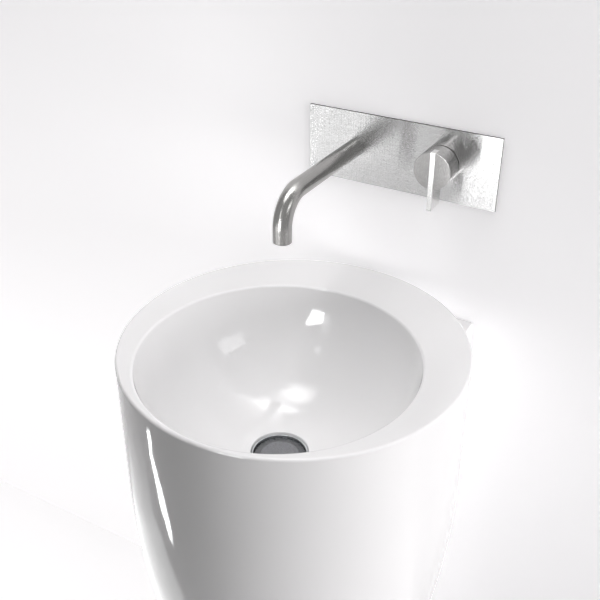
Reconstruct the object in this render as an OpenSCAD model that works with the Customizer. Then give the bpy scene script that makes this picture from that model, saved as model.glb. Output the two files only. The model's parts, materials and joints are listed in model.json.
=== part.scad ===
// Floor-standing round washbasin in one glazed ceramic body, with a wall-mounted single-lever mixer tap.
// Millimetres, +Z up, +Y towards the wall. The origin lies on the floor, on the body's vertical axis.

/* [Basin] */
// Height of the rim above the floor
rim_height = 850; // [800:5:900]
// Outer radius of the round body at the rim
rim_radius = 225; // [220:1:240]
// Radius of the bowl's mouth
mouth_radius = 178.4; // [165:0.1:180]
// Distance from the body's axis forward to the bowl's axis
mouth_forward = 39; // [20:1:39]
// Depth of the bowl from the rim to the waste
bowl_depth = 153.5; // [120:0.5:160]
// Thickness of the flat rim
rim_thickness = 14; // [10:1:20]
// Thickness of the bowl's wall
bowl_wall = 9.5; // [7:0.5:12]
// Thickness of the outer body's wall
shell_wall = 12; // [9:0.5:12]
// Rounding of the rim's edges
edge_round = 3.5; // [1:0.5:3.5]
// Radius of the hole for the waste
waste_hole_r = 22.7; // [22.2:0.1:24]

/* [Body] */
// Drop from the rim to where the body starts to taper
straight_drop = 180; // [120:5:260]
// Radius of the long curve in the body's side
taper_radius = 1250; // [900:50:2500]
// Height of the long curve, below which the side runs straight to the floor
taper_curve = 220; // [120:10:300]
// Gap between the rim's back and the finished wall
rim_to_wall = 9; // [3:1:40]
// Half the width of the spine between the round body and the wall
spine_half_width = 160; // [135:1:180]
// Drop from the rim to the spine's top
spine_drop = 46; // [44:1:80]
// Height of the service window's top above the outlet tube's axis
window_above_outlet = 78; // [60:2:90]
// Width of the ceramic lip left round the service window
window_lip = 18; // [16:1:30]

/* [Wall and floor fixings] */
// Thickness of the foam strip between the spine and the wall
wall_strip = 2; // [1:0.5:4]
// Half the distance between the two wall studs
stud_half_spacing = 101.5; // [80:0.5:120]
// Drop from the rim to the wall studs
stud_drop = 110; // [95:5:125]
// Radius of the wall studs
stud_r = 5; // [4:0.5:6]
// Half the distance between the floor brackets' vertical holes
bracket_hole_x = 72; // [68:1:80]
// Radius of the floor brackets' vertical holes
bracket_hole_r = 4.25; // [3:0.25:6]
// Height of the side screws above the floor
side_screw_height = 40; // [30:1:50]
// Radius of the side screws
side_screw_r = 3; // [2.5:0.5:4]

/* [Waste and trap] */
// Radius of the waste's flange in the bowl
flange_r = 38; // [34:0.5:42]
// Radius of the waste's threaded tail, for a one and a quarter inch pipe thread
tail_r = 20.95; // [20:0.05:22]
// Radius of the push plug's cap
plug_r = 34.5; // [28:0.5:36]
// Travel of the push plug
plug_travel = 8; // [5:1:8]
// Radius of the trap's tubes
trap_tube_r = 16; // [14:0.5:17]
// Length of the trap's inlet tube that shows between its two nuts
trap_clear = 9; // [6:1:40]
// Length of the outlet tube beyond the finished wall
spigot_length = 40; // [30:5:80]

/* [Tap] */
// Width of the cover plate
plate_width = 278; // [240:1:320]
// Height of the cover plate
plate_height = 101; // [90:1:130]
// Thickness of the cover plate
plate_thickness = 3; // [2:0.5:5]
// Distance from the body's axis to the cover plate's middle
plate_x = 32; // [20:1:40]
// Height of the cover plate's middle above the rim
plate_above_rim = 178.5; // [160:0.5:200]
// Distance of the spout's axis to the left of the body's axis
spout_left = 36; // [20:1:50]
// Radius of the spout's tube
spout_r = 12.5; // [11.5:0.5:15]
// Wall of the spout's tube
spout_wall = 1.5; // [1:0.25:2]
// Reach of the spout from the finished wall to its outlet
spout_reach = 200; // [160:5:230]
// Drop of the spout from its straight run to its outlet
spout_drop = 58; // [50:1:80]
// Radius of the spout's bend, at its axis
spout_bend = 40; // [26:1:44]
// Distance of the handle's axis to the right of the body's axis
handle_x = 101.5; // [90:0.5:120]
// Height of the handle's axis above the cover plate's middle
handle_rise = 14; // [0:1:20]
// Radius of the handle and its collar
handle_r = 25; // [24:0.5:28]
// Length of the fixed collar
collar_length = 28.5; // [24:0.5:40]
// Running gap between the collar and the handle
handle_gap = 2.8; // [0.6:0.1:4]
// Length of the handle
handle_length = 28.2; // [24:0.1:36]
// Thickness of the lever blade
blade_thickness = 7; // [4:0.5:9]
// Distance from the handle's axis to the blade's lower end
blade_reach = 54.5; // [40:0.5:80]
// Depth of the slot that holds the blade in the handle
blade_slot_depth = 13; // [8:1:14]
// Distance from the finished wall to the mounting plate
wall_depth = 62; // [56:1:90]
// Width of the mounting plate
mount_plate_width = 310; // [290:1:360]
// Distance from the wall studs down to the mounting plate's lower edge
mount_plate_below = 45; // [30:1:80]
// Distance from the cover plate's middle up to the mounting plate's upper edge
mount_plate_above = 66.5; // [60:0.5:100]

/* [Hidden] */
$fn = 96;

// Small allowances
cut = 1;            // how far a cutting shape runs past the face that it cuts
join = 0.5;         // how far two shapes of one piece run into each other
fit_gap = 0.05;     // radial gap of parts that slide together
run_gap = 0.06;     // radial running clearance of a shaft
face_gap = 0.1;     // gap between faces that turn on each other
free_gap = 0.3;     // radial gap of a part that passes freely through a plate

// Body
side_slope = taper_curve / taper_radius;
seam_z = rim_height - spine_drop;
round_inner_r = rim_radius - shell_wall;
wall_distance = rim_radius + rim_to_wall;
spine_back_y = wall_distance - wall_strip;
strip_inset = 6;
strip_width = 14;
curve_steps = 11;
sphere_fn = 160;
straight_z = rim_height - straight_drop;
curve_end_z = straight_z - taper_curve;

// Bowl: a sphere that passes through the mouth's edge and the bowl's lowest point
bowl_y = -mouth_forward;
bowl_rise = bowl_depth - edge_round;
bowl_r = (mouth_radius * mouth_radius + bowl_rise * bowl_rise) / (2 * bowl_rise);
bowl_centre_z = rim_height - bowl_depth + bowl_r;
bowl_low_z = rim_height - bowl_depth;

// Waste, from the seat in the bowl downwards
seal_t = 1;
seal_inset = 0.5;
flange_t = 10;
flange_edge = 1.2;
seat_depth = 9.5;
seat_z = bowl_low_z - seat_depth;
flange_z = seat_z + seal_t;
flange_top_z = flange_z + flange_t;
dish_depth = 7.5;
dish_gap = 0.8;
dish_z = flange_top_z - dish_depth;
boss_r = 44;
boss_t = 10;
boss_z = seat_z - boss_t;
boss_in = seat_depth + 1.5;
seat_gap = 0.4;
lower_seal_t = 6;
lower_seal_w = 9;
locknut_t = 12;
locknut_w = 11;
locknut_z = boss_z - lower_seal_t - locknut_t;
tail_wall = 3.45;
tail_bore_r = tail_r - tail_wall;
tail_length = 49;
tail_z = boss_z - tail_length;
plug_seal_t = 0.85;
plug_seal_inset = 5;
plug_seal_w = 4;
plug_z = dish_z + fit_gap + plug_seal_t;
plug_edge_t = 2.4;
plug_bevel_w = 9;
plug_bevel_t = 1.2;
spindle_r = 4;
spindle_length = 50;
spindle_z = plug_z - spindle_length;
spindle_stop_r = 5.5;
spindle_stop_t = 3;
guide_t = 8;
guide_rim = 2;
guide_hub_r = 7;
guide_rib_t = 2.4;
stop_gap = 2;
guide_z = spindle_z + spindle_stop_t + plug_travel + stop_gap;

// Trap
tube_wall = 1.3;
nut_wall = 5;
inlet_nut_lip = 5;
washer_t = 2;
inlet_nut_z = tail_z - washer_t - inlet_nut_lip;
inlet_nut_h = 23;
tube_in_tail = 14;
tube_top_z = tail_z + tube_in_tail;
bottle_r = 31;
bottle_wall = 2.4;
bottle_top_t = 3;
bottle_below = 47;
bottle_above = 26;
neck_seat = 10;
neck_r = 21;
neck_h = 18;
neck_nut_h = 16;
bottle_top_z = inlet_nut_z - trap_clear - neck_nut_h + neck_seat - neck_h;
outlet_z = bottle_top_z - bottle_above;
bottle_low_z = outlet_z - bottle_below;
window_top_z = outlet_z + window_above_outlet;
slip_nut_wall = 4;
nut_lip = 4;
cup_wall = 3.9;
cup_overlap = 12;
cup_seal_t = 3;
cup_h = 72;
cup_floor = 5;
cup_low_z = bottle_low_z + cup_overlap - cup_h;
dip_above_cup = 45;
dip_z = cup_low_z + dip_above_cup;
outlet_socket_r = 20.5;
outlet_socket_length = 17;
outlet_socket_end = bowl_y + bottle_r + outlet_socket_length;
tube_in_bottle = 2;
outlet_nut_len = 16;
bead_t = 2.5;
bead_w = 1.5;
bead_r = trap_tube_r + bead_w;
rosette_w = 16;
rosette_t = 2;
rosette_neck_w = 4;
rosette_neck = 8;
outlet_end_y = wall_distance + bead_t + spigot_length;

// Fixings
panel_y = spine_back_y - shell_wall;
stud_z = rim_height - stud_drop;
sleeve_w = 3;
sleeve_hole_r = stud_r + sleeve_w;
sleeve_gap = 0.2;
stud_gap = 0.5;
sleeve_bore = stud_r + stud_gap;
sleeve_flange_t = 2;
sleeve_flange_w = 4;
washer_face_y = panel_y - sleeve_flange_t;
stud_washer_t = 2.5;
stud_washer_w = 9;
stud_nut_t = 8;
nut_ratio = 1.85;
nut_across_r = stud_r * nut_ratio;
mount_plate_t = 3;
mount_plate_y = wall_distance + wall_depth;
stud_front_out = 6;
stud_back_out = 2;
stud_front_y = washer_face_y - stud_washer_t - stud_nut_t - stud_front_out;
stud_back_y = mount_plate_y + mount_plate_t + stud_nut_t + stud_back_out;
mount_plate_x = 10;
mount_hole_inset = 15;
mount_hole_r = 4.5;
bracket_half_w = 20;
bracket_h = 60;
bracket_foot_h = 9;
bracket_post_t = 24;
bracket_in = 16;
bracket_gap = 0.4;
screw_in_bracket = 22;
screw_hole_gap = 0.6;
cap_r = 8;
cap_t = 3.6;
cap_gap = 0.2;
cap_proud = 0.6;
head_r = 5.5;
head_t = 4;

// Tap, from the wall forwards into the room
plate_gasket_t = 1;
plate_gasket_inset = 3;
plate_z = rim_height + plate_above_rim;
mount_plate_bottom = stud_z - mount_plate_below;
mount_plate_height = plate_z + mount_plate_above - mount_plate_bottom;
plate_front_y = wall_distance - plate_gasket_t - plate_thickness;
spout_x = -spout_left;
spout_below_middle = 1;
spout_z = plate_z - spout_below_middle;
spout_tip_y = wall_distance - spout_reach;
spout_tip_z = spout_z - spout_drop;
spout_bore_r = spout_r - spout_wall;
nipple_r = spout_bore_r - fit_gap;
nipple_bore_r = 7.5;
nipple_in_spout = 25;
set_screw_r = 2;
set_screw_sunk = 0.3;
set_screw_out = 8;
set_screw_y = plate_front_y - set_screw_out;
handle_z = plate_z + handle_rise;
collar_end_y = plate_front_y - collar_length;
handle_back_y = collar_end_y - handle_gap;
handle_front_y = handle_back_y - handle_length;
blade_proud = 0.6;
blade_gap = 0.2;
blade_overlap = 1;
grub_r = 2;
grub_sunk = 2;
blade_top = sqrt(pow(handle_r, 2) - pow(blade_thickness / 2, 2));

// Concealed mixer, from the wall backwards
mixer_setback = 24;
mixer_front_y = wall_distance + mixer_setback;
sleeve_r = 21;
sleeve_bore_r = 18;
collar_front_t = 3;
collar_hole_gap = 6;
sleeve_sunk = 5;
sleeve_front_y = collar_end_y + sleeve_sunk;
socket_out = 1;
socket_y = mixer_front_y - socket_out;
cartridge_r = 17.5;
cartridge_bore_r = 15.5;
cartridge_nose_t = 4;
cartridge_nut_t = 6;
cartridge_front_y = sleeve_front_y + cartridge_nut_t;
cartridge_back_y = socket_y - seal_t;
disc_t = 4;
fixed_disc_y = cartridge_back_y - disc_t;
moving_disc_y = fixed_disc_y - face_gap - disc_t;
carrier_t = 6;
carrier_y = moving_disc_y - face_gap - carrier_t;
carrier_r = 13;
stem_r = 6;
stem_in_handle = 8;
stem_front_y = handle_back_y - stem_in_handle;
port_r = 3.5;
port_offset = 8;
cross_r = 3;
pocket_start = 62;
pocket_turn = 90;
nut_bore_gap = 0.5;
inlet_offset = 20;
inlet_setback = 13.5;
inlet_y = mount_plate_y - inlet_setback;
inlet_bore_r = 9.3;
inlet_bore_depth = 15;
inlet_boss_r = 13;
inlet_above = 8;
inlet_drop = 56;
inlet_low_z = handle_z - inlet_drop;
channel_r = 5;
bar_half = 9;
channel_in = 10;
outlet_channel_y = mixer_front_y + channel_in;
channel_drop = 12.5;
outlet_channel_z = handle_z - channel_drop;
spout_socket = 12;
spout_boss_r = 20;
cartridge_boss_r = 27;
lug_t = 6;
lug_out = 16;
lug_half_h = 12;
lug_screw_r = 3;
lug_hole_r = lug_screw_r + free_gap;
lug_nut_r = 5.8;
lug_nut_t = 5;
lug_screw_out = 3;
left_lug_x = spout_x - spout_boss_r - lug_out / 2;
right_lug_x = handle_x + inlet_offset + inlet_boss_r + lug_out / 2;

china = [0.96, 0.96, 0.95];
steel = [0.70, 0.70, 0.69];
chromed = [0.80, 0.81, 0.82];
brass_yellow = [0.78, 0.66, 0.36];
rubber_black = [0.12, 0.12, 0.12];
zinc = [0.62, 0.64, 0.66];
nylon = [0.90, 0.90, 0.86];

// Radius of the outer body at a height above the floor: straight, then one long curve, then a straight taper
function body_r(z) =
    let (d = straight_z - z)
    d <= 0 ? rim_radius :
    d <= taper_curve ? rim_radius - d * d / (2 * taper_radius) :
    rim_radius - taper_curve * side_slope / 2 - (d - taper_curve) * side_slope;

// Half the spine's width at a height above the floor: it narrows as the body does
function spine_w(z) = spine_half_width * body_r(z) / rim_radius;

// The shoulder in the body's wall that a side screw's head bears on
side_shoulder_x = body_r(side_screw_height) - head_t - cap_t + cap_proud;

// Heights at which the body's outline has a point
body_levels = concat(
    [0],
    [for (i = [0 : curve_steps]) curve_end_z + i * taper_curve / curve_steps],
    [seam_z]
);

// A ring standing on z = 0
module ring(outer, inner, height) {
    difference() {
        cylinder(r = outer, h = height);
        translate([0, 0, -cut]) cylinder(r = inner, h = height + 2 * cut);
    }
}

// Stands a shape that was drawn along +Z along +Y, starting from a point
module along_y(x, y, z) {
    translate([x, y, z]) rotate([-90, 0, 0]) children();
}

// Places a shape on the bowl's vertical axis at a height
module at_waste(z) {
    translate([0, bowl_y, z]) children();
}

// Solid of revolution inside the outer body's surface, with an inset for its wall
module body_solid(inset, top) {
    rotate_extrude() polygon(concat(
        [[0, 0]],
        [for (z = body_levels) [body_r(z) - inset, z == seam_z ? top : z]],
        [[0, top]]
    ));
}

// The spine's outline as seen from behind, with an inset from its sides
module spine_outline(inset, top) {
    polygon(concat(
        [for (z = body_levels) [spine_w(z) - inset, z == seam_z ? top : z]],
        [for (i = [len(body_levels) - 1 : -1 : 0])
            [-(spine_w(body_levels[i]) - inset), body_levels[i] == seam_z ? top : body_levels[i]]]
    ));
}

// Extrudes an outline drawn in X and Z from one Y to another
module extrude_y(y_from, y_to) {
    translate([0, y_to, 0]) rotate([90, 0, 0]) linear_extrude(y_to - y_from) children();
}

// Outline of the rim's edge in radius and height, rounded at the top
module drum_outline() {
    translate([0, seam_z]) square([rim_radius - edge_round, spine_drop]);
    translate([0, seam_z]) square([rim_radius, spine_drop - edge_round]);
    translate([rim_radius - edge_round, rim_height - edge_round]) circle(r = edge_round);
}

// Cutting shape that rounds the mouth's edge
module mouth_flare() {
    at_waste(0) rotate_extrude() difference() {
        translate([0, rim_height - edge_round]) square([mouth_radius + edge_round, edge_round + cut]);
        translate([mouth_radius + edge_round, rim_height - edge_round]) circle(r = edge_round);
    }
}

// The flat rim with the bowl's upper band and the body's wall down to the level of the spine's top
module rim() {
    color(china) difference() {
        union() {
            difference() {
                rotate_extrude() drum_outline();
                translate([0, 0, seam_z - cut])
                    cylinder(r = round_inner_r, h = spine_drop - rim_thickness + cut);
            }
            intersection() {
                at_waste(bowl_centre_z) sphere(r = bowl_r + bowl_wall, $fn = sphere_fn);
                translate([0, 0, seam_z]) cylinder(r = rim_radius - edge_round - join, h = spine_drop);
            }
        }
        at_waste(bowl_centre_z) sphere(r = bowl_r, $fn = sphere_fn);
        mouth_flare();
    }
}

// The bowl below the level of the spine's top, with the boss round the waste
module bowl() {
    color(china) difference() {
        union() {
            intersection() {
                at_waste(bowl_centre_z) sphere(r = bowl_r + bowl_wall, $fn = sphere_fn);
                translate([0, 0, boss_z])
                    cylinder(r = rim_radius - edge_round - join, h = seam_z - boss_z);
            }
            at_waste(boss_z) cylinder(r = boss_r, h = boss_t + boss_in);
        }
        at_waste(bowl_centre_z) sphere(r = bowl_r, $fn = sphere_fn);
        at_waste(seat_z) cylinder(r = flange_r + seat_gap, h = boss_in + boss_t);
        at_waste(boss_z - cut) cylinder(r = waste_hole_r, h = boss_t + 2 * cut);
    }
}

// The hollow lower body and the spine that reaches the wall, open below and at the back
module pedestal() {
    color(china) difference() {
        union() {
            body_solid(0, seam_z);
            extrude_y(0, spine_back_y) spine_outline(0, seam_z);
        }
        translate([0, 0, -cut]) body_solid_cut();
        extrude_y(0, panel_y) intersection() {
            spine_outline_cut();
            translate([-rim_radius, -2 * cut]) square([2 * rim_radius, seam_z - shell_wall + 2 * cut]);
        }
        extrude_y(panel_y - cut, spine_back_y + cut) service_window();
        at_waste(bowl_centre_z) sphere(r = bowl_r + bowl_wall, $fn = sphere_fn);
        for (side = [-1, 1]) {
            along_y(side * stud_half_spacing, panel_y - cut, stud_z)
                cylinder(r = sleeve_hole_r, h = shell_wall + 2 * cut);
            mirror([side < 0 ? 1 : 0, 0, 0]) side_screw_hole();
        }
    }
}

// Inside of the round body, run past both ends
module body_solid_cut() {
    rotate_extrude() polygon(concat(
        [[0, 0], [body_r(0) - shell_wall - cut * side_slope, 0]],
        [for (z = body_levels) [body_r(z) - shell_wall, z == seam_z ? seam_z + 2 * cut : z + cut]],
        [[0, seam_z + 2 * cut]]
    ));
}

// Inside of the spine, run past its foot
module spine_outline_cut() {
    spine_outline(shell_wall, seam_z);
    translate([-(spine_w(0) - shell_wall), -2 * cut])
        square([2 * (spine_w(0) - shell_wall), 3 * cut]);
}

// The opening in the spine's back for the waste pipe, with the spine's own taper
module service_window() {
    intersection() {
        spine_outline(shell_wall + window_lip, seam_z);
        translate([-rim_radius, cut]) square([2 * rim_radius, window_top_z - cut]);
    }
    translate([-(spine_w(0) - shell_wall - window_lip), -cut])
        square([2 * (spine_w(0) - shell_wall - window_lip), 3 * cut]);
}

// Stepped hole in the foot for a side screw and its cap
module side_screw_hole() {
    translate([body_r(0) - 2 * shell_wall, 0, side_screw_height]) rotate([0, 90, 0])
        cylinder(r = side_screw_r + screw_hole_gap, h = 4 * shell_wall);
    translate([side_shoulder_x, 0, side_screw_height]) rotate([0, 90, 0])
        cylinder(r = cap_r + cap_gap, h = 2 * shell_wall);
}

// Foam strip round the spine's back
module wall_strip_seal() {
    color(nylon) extrude_y(spine_back_y, wall_distance) difference() {
        intersection() {
            spine_outline(strip_inset, seam_z);
            translate([-rim_radius, strip_inset]) square([2 * rim_radius, seam_z - 2 * strip_inset]);
        }
        intersection() {
            spine_outline(strip_inset + strip_width, seam_z);
            translate([-rim_radius, 0]) square([2 * rim_radius, seam_z - strip_inset - strip_width]);
        }
    }
}

// Plastic sleeves that keep the studs off the ceramic
module stud_sleeves() {
    color(nylon) for (side = [-1, 1]) {
        along_y(side * stud_half_spacing, washer_face_y, stud_z)
            ring(sleeve_hole_r + sleeve_flange_w, sleeve_bore, sleeve_flange_t);
        along_y(side * stud_half_spacing, panel_y - join, stud_z)
            ring(sleeve_hole_r - sleeve_gap, sleeve_bore, shell_wall + join);
    }
}

// Threaded studs from the mounting plate through the wall into the spine
module wall_studs() {
    color(zinc) for (side = [-1, 1])
        along_y(side * stud_half_spacing, stud_front_y, stud_z)
            cylinder(r = stud_r, h = stud_back_y - stud_front_y);
}

module stud_washers() {
    color(zinc) for (side = [-1, 1])
        along_y(side * stud_half_spacing, washer_face_y - stud_washer_t, stud_z)
            ring(stud_r + stud_washer_w, stud_r + fit_gap, stud_washer_t);
}

// A hexagon nut standing on z = 0
module hex_nut(across, bore, height) {
    difference() {
        cylinder(r = across, h = height, $fn = 6);
        translate([0, 0, -cut]) cylinder(r = bore, h = height + 2 * cut);
    }
}

module stud_nuts() {
    color(zinc) for (side = [-1, 1])
        along_y(side * stud_half_spacing, washer_face_y - stud_washer_t - stud_nut_t, stud_z)
            hex_nut(nut_across_r, stud_r + fit_gap, stud_nut_t);
}

// Nuts that clamp the studs to both faces of the mounting plate
module anchor_nuts() {
    color(zinc) for (side = [-1, 1], y = [mount_plate_y - stud_nut_t, mount_plate_y + mount_plate_t])
        along_y(side * stud_half_spacing, y, stud_z)
            hex_nut(nut_across_r, stud_r + fit_gap, stud_nut_t);
}

// Outer face of the floor brackets, clear of the round foot at their corners
bracket_x = sqrt(pow(body_r(0) - shell_wall, 2) - pow(bracket_half_w, 2)) - bracket_gap;

// Moulded angle brackets inside the foot, screwed to the floor
module floor_brackets() {
    color(nylon) for (side = [0, 1]) mirror([side, 0, 0]) difference() {
        union() {
            translate([bracket_hole_x - bracket_in, -bracket_half_w, 0])
                cube([bracket_x - bracket_hole_x + bracket_in, 2 * bracket_half_w, bracket_foot_h]);
            translate([bracket_x - bracket_post_t, -bracket_half_w, 0])
                cube([bracket_post_t, 2 * bracket_half_w, bracket_h]);
        }
        translate([bracket_hole_x, 0, -cut]) cylinder(r = bracket_hole_r, h = bracket_foot_h + 2 * cut);
        translate([bracket_x - bracket_post_t - cut, 0, side_screw_height]) rotate([0, 90, 0])
            cylinder(r = side_screw_r + fit_gap, h = bracket_post_t + 2 * cut);
    }
}

// Screws that hold the foot to the floor brackets from each side
module side_screws() {
    start_x = bracket_x - screw_in_bracket;
    color(steel) for (side = [0, 1]) mirror([side, 0, 0])
        translate([start_x, 0, side_screw_height]) rotate([0, 90, 0]) {
            cylinder(r = side_screw_r, h = side_shoulder_x - start_x + join);
            translate([0, 0, side_shoulder_x - start_x]) cylinder(r = head_r, h = head_t);
        }
}

// Caps over the side screws
module screw_caps() {
    color(chromed) for (side = [0, 1]) mirror([side, 0, 0])
        translate([side_shoulder_x + head_t + face_gap, 0, side_screw_height]) rotate([0, 90, 0])
            cylinder(r = cap_r, h = cap_t);
}

// Flat rubber ring under the waste's flange
module flange_seal() {
    color(rubber_black) at_waste(seat_z) ring(flange_r - seal_inset, tail_r + fit_gap, seal_t);
}

// Waste: dished flange in the bowl and a threaded tail below it, turned from one piece
module waste_body() {
    color(chromed) at_waste(0) difference() {
        union() {
            translate([0, 0, tail_z]) cylinder(r = tail_r, h = flange_z - tail_z + join);
            rotate_extrude() {
                translate([0, flange_z]) square([flange_r - flange_edge, flange_t]);
                translate([0, flange_z]) square([flange_r, flange_t - flange_edge]);
                translate([flange_r - flange_edge, flange_top_z - flange_edge]) circle(r = flange_edge);
            }
        }
        translate([0, 0, dish_z]) cylinder(r = plug_r + dish_gap, h = flange_t);
        translate([0, 0, tail_z - cut]) cylinder(r = tail_bore_r, h = dish_z - tail_z + 2 * cut);
    }
}

// Rubber ring between the ceramic boss and the locknut
module lower_seal() {
    color(rubber_black) at_waste(boss_z - lower_seal_t)
        ring(tail_r + lower_seal_w, tail_r + fit_gap, lower_seal_t);
}

module waste_locknut() {
    color(brass_yellow) at_waste(locknut_z) hex_nut(tail_r + locknut_w, tail_r + fit_gap, locknut_t);
}

// Spider inside the tail that guides the plug's spindle
module plug_guide() {
    color(nylon) at_waste(guide_z) difference() {
        union() {
            ring(tail_bore_r - fit_gap, tail_bore_r - guide_rim, guide_t);
            cylinder(r = guide_hub_r, h = guide_t);
            for (a = [0 : 120 : 240]) rotate([0, 0, a]) translate([0, -guide_rib_t / 2, 0])
                cube([tail_bore_r - guide_rim / 2, guide_rib_t, guide_t]);
        }
        translate([0, 0, -cut]) cylinder(r = spindle_r + run_gap, h = guide_t + 2 * cut);
    }
}

// Push plug's cap, sunk in the flange's dish, flat on top with a broad low bevel
module plug_cap() {
    color(chromed) at_waste(plug_z) {
        cylinder(r = plug_r, h = plug_edge_t);
        translate([0, 0, plug_edge_t])
            cylinder(r1 = plug_r, r2 = plug_r - plug_bevel_w, h = plug_bevel_t);
    }
}

module plug_seal() {
    outer = plug_r - plug_seal_inset;
    color(rubber_black) at_waste(plug_z - plug_seal_t) ring(outer, outer - plug_seal_w, plug_seal_t);
}

// Plug's spindle, with a stop that keeps it in its guide
module plug_spindle() {
    color(chromed) at_waste(spindle_z) {
        cylinder(r = spindle_r, h = plug_z - spindle_z);
        cylinder(r = spindle_stop_r, h = spindle_stop_t);
    }
}

// Nut that clamps the trap's inlet tube to the waste's tail
module trap_inlet_nut() {
    color(chromed) at_waste(inlet_nut_z) difference() {
        cylinder(r = tail_r + nut_wall, h = inlet_nut_h);
        translate([0, 0, -cut]) cylinder(r = trap_tube_r + fit_gap, h = inlet_nut_h + 2 * cut);
        translate([0, 0, inlet_nut_lip]) cylinder(r = tail_r + fit_gap, h = inlet_nut_h);
    }
}

module inlet_washer() {
    color(rubber_black) at_waste(tail_z - washer_t) ring(tail_r, trap_tube_r + fit_gap, washer_t);
}

// Tube from the waste down into the trap's cup
module trap_inlet_tube() {
    color(chromed) at_waste(dip_z) ring(trap_tube_r, trap_tube_r - tube_wall, tube_top_z - dip_z);
}

// Nut over the trap's neck, pressing a seal against the inlet tube
module trap_neck_nut() {
    low_z = bottle_top_z + neck_h + washer_t + nut_lip - neck_nut_h;
    color(chromed) at_waste(low_z) difference() {
        cylinder(r = neck_r + slip_nut_wall, h = neck_nut_h);
        translate([0, 0, -cut]) cylinder(r = trap_tube_r + fit_gap, h = neck_nut_h + 2 * cut);
        translate([0, 0, -cut]) cylinder(r = neck_r + fit_gap, h = neck_nut_h - nut_lip + cut);
    }
}

module trap_neck_seal() {
    color(rubber_black) at_waste(bottle_top_z + neck_h) ring(neck_r, trap_tube_r + fit_gap, washer_t);
}

// Trap's bottle: a turned shell with a neck on top and a side socket towards the wall
module trap_body() {
    color(chromed) difference() {
        union() {
            at_waste(bottle_low_z) cylinder(r = bottle_r, h = bottle_top_z - bottle_low_z);
            at_waste(bottle_top_z - cut) cylinder(r = neck_r, h = neck_h + cut);
            along_y(0, bowl_y, outlet_z)
                cylinder(r = outlet_socket_r, h = outlet_socket_end - bowl_y);
        }
        at_waste(bottle_low_z - cut)
            cylinder(r = bottle_r - bottle_wall, h = bottle_top_z - bottle_low_z - bottle_top_t + cut);
        at_waste(bottle_top_z - neck_seat)
            cylinder(r = trap_tube_r + fit_gap, h = neck_h + neck_seat + cut);
        along_y(0, bowl_y, outlet_z)
            cylinder(r = trap_tube_r + fit_gap, h = outlet_socket_end - bowl_y + cut);
    }
}

module cup_seal() {
    color(rubber_black) at_waste(bottle_low_z - cup_seal_t)
        ring(bottle_r, bottle_r - bottle_wall, cup_seal_t);
}

// Trap's cup, which unscrews from the bottle for cleaning
module trap_cup() {
    shoulder_z = bottle_low_z - cup_seal_t;
    color(chromed) at_waste(0) difference() {
        translate([0, 0, cup_low_z]) cylinder(r = bottle_r + cup_wall, h = cup_h);
        translate([0, 0, cup_low_z + cup_floor])
            cylinder(r = bottle_r - bottle_wall, h = cup_h);
        translate([0, 0, shoulder_z]) cylinder(r = bottle_r + fit_gap, h = cup_h);
    }
}

// Nut over the trap's outlet socket
module trap_outlet_nut() {
    start_y = outlet_socket_end + washer_t + nut_lip - outlet_nut_len;
    color(chromed) along_y(0, start_y, outlet_z) difference() {
        cylinder(r = outlet_socket_r + slip_nut_wall, h = outlet_nut_len);
        translate([0, 0, -cut]) cylinder(r = trap_tube_r + fit_gap, h = outlet_nut_len + 2 * cut);
        translate([0, 0, -cut]) cylinder(r = outlet_socket_r + fit_gap, h = outlet_nut_len - nut_lip + cut);
    }
}

module outlet_seal() {
    color(rubber_black) along_y(0, outlet_socket_end, outlet_z)
        ring(outlet_socket_r, trap_tube_r + fit_gap, washer_t);
}

// Tube from the trap through the wall's face, with a bead that stops it there
module trap_outlet_tube() {
    start_y = bowl_y + bottle_r - tube_in_bottle;
    color(chromed) difference() {
        union() {
            along_y(0, start_y, outlet_z) cylinder(r = trap_tube_r, h = outlet_end_y - start_y);
            along_y(0, wall_distance, outlet_z) cylinder(r = bead_r, h = bead_t);
        }
        along_y(0, start_y - cut, outlet_z)
            cylinder(r = trap_tube_r - tube_wall, h = outlet_end_y - start_y + 2 * cut);
    }
}

// Rosette that covers the hole in the wall round the outlet tube
module outlet_rosette() {
    color(chromed) {
        along_y(0, wall_distance - rosette_t, outlet_z)
            ring(trap_tube_r + rosette_w, trap_tube_r + fit_gap, rosette_t);
        along_y(0, wall_distance - rosette_neck, outlet_z)
            ring(trap_tube_r + rosette_neck_w, trap_tube_r + fit_gap, rosette_neck - rosette_t + join);
    }
}

// Galvanised plate inside the wall that carries the mixer and the wall studs
module mounting_plate() {
    left = mount_plate_x - mount_plate_width / 2;
    right = left + mount_plate_width;
    top = mount_plate_bottom + mount_plate_height;
    color(zinc) difference() {
        translate([left, mount_plate_y, mount_plate_bottom])
            cube([mount_plate_width, mount_plate_t, mount_plate_height]);
        for (x = [left + mount_hole_inset, right - mount_hole_inset],
             z = [mount_plate_bottom + mount_hole_inset, top - mount_hole_inset])
            along_y(x, mount_plate_y - cut, z) cylinder(r = mount_hole_r, h = mount_plate_t + 2 * cut);
        for (side = [-1, 1])
            along_y(side * stud_half_spacing, mount_plate_y - cut, stud_z)
                cylinder(r = stud_r + free_gap, h = mount_plate_t + 2 * cut);
        for (p = [[left_lug_x, spout_z], [right_lug_x, handle_z]])
            along_y(p[0], mount_plate_y - cut, p[1]) cylinder(r = lug_hole_r, h = mount_plate_t + 2 * cut);
    }
}

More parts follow.
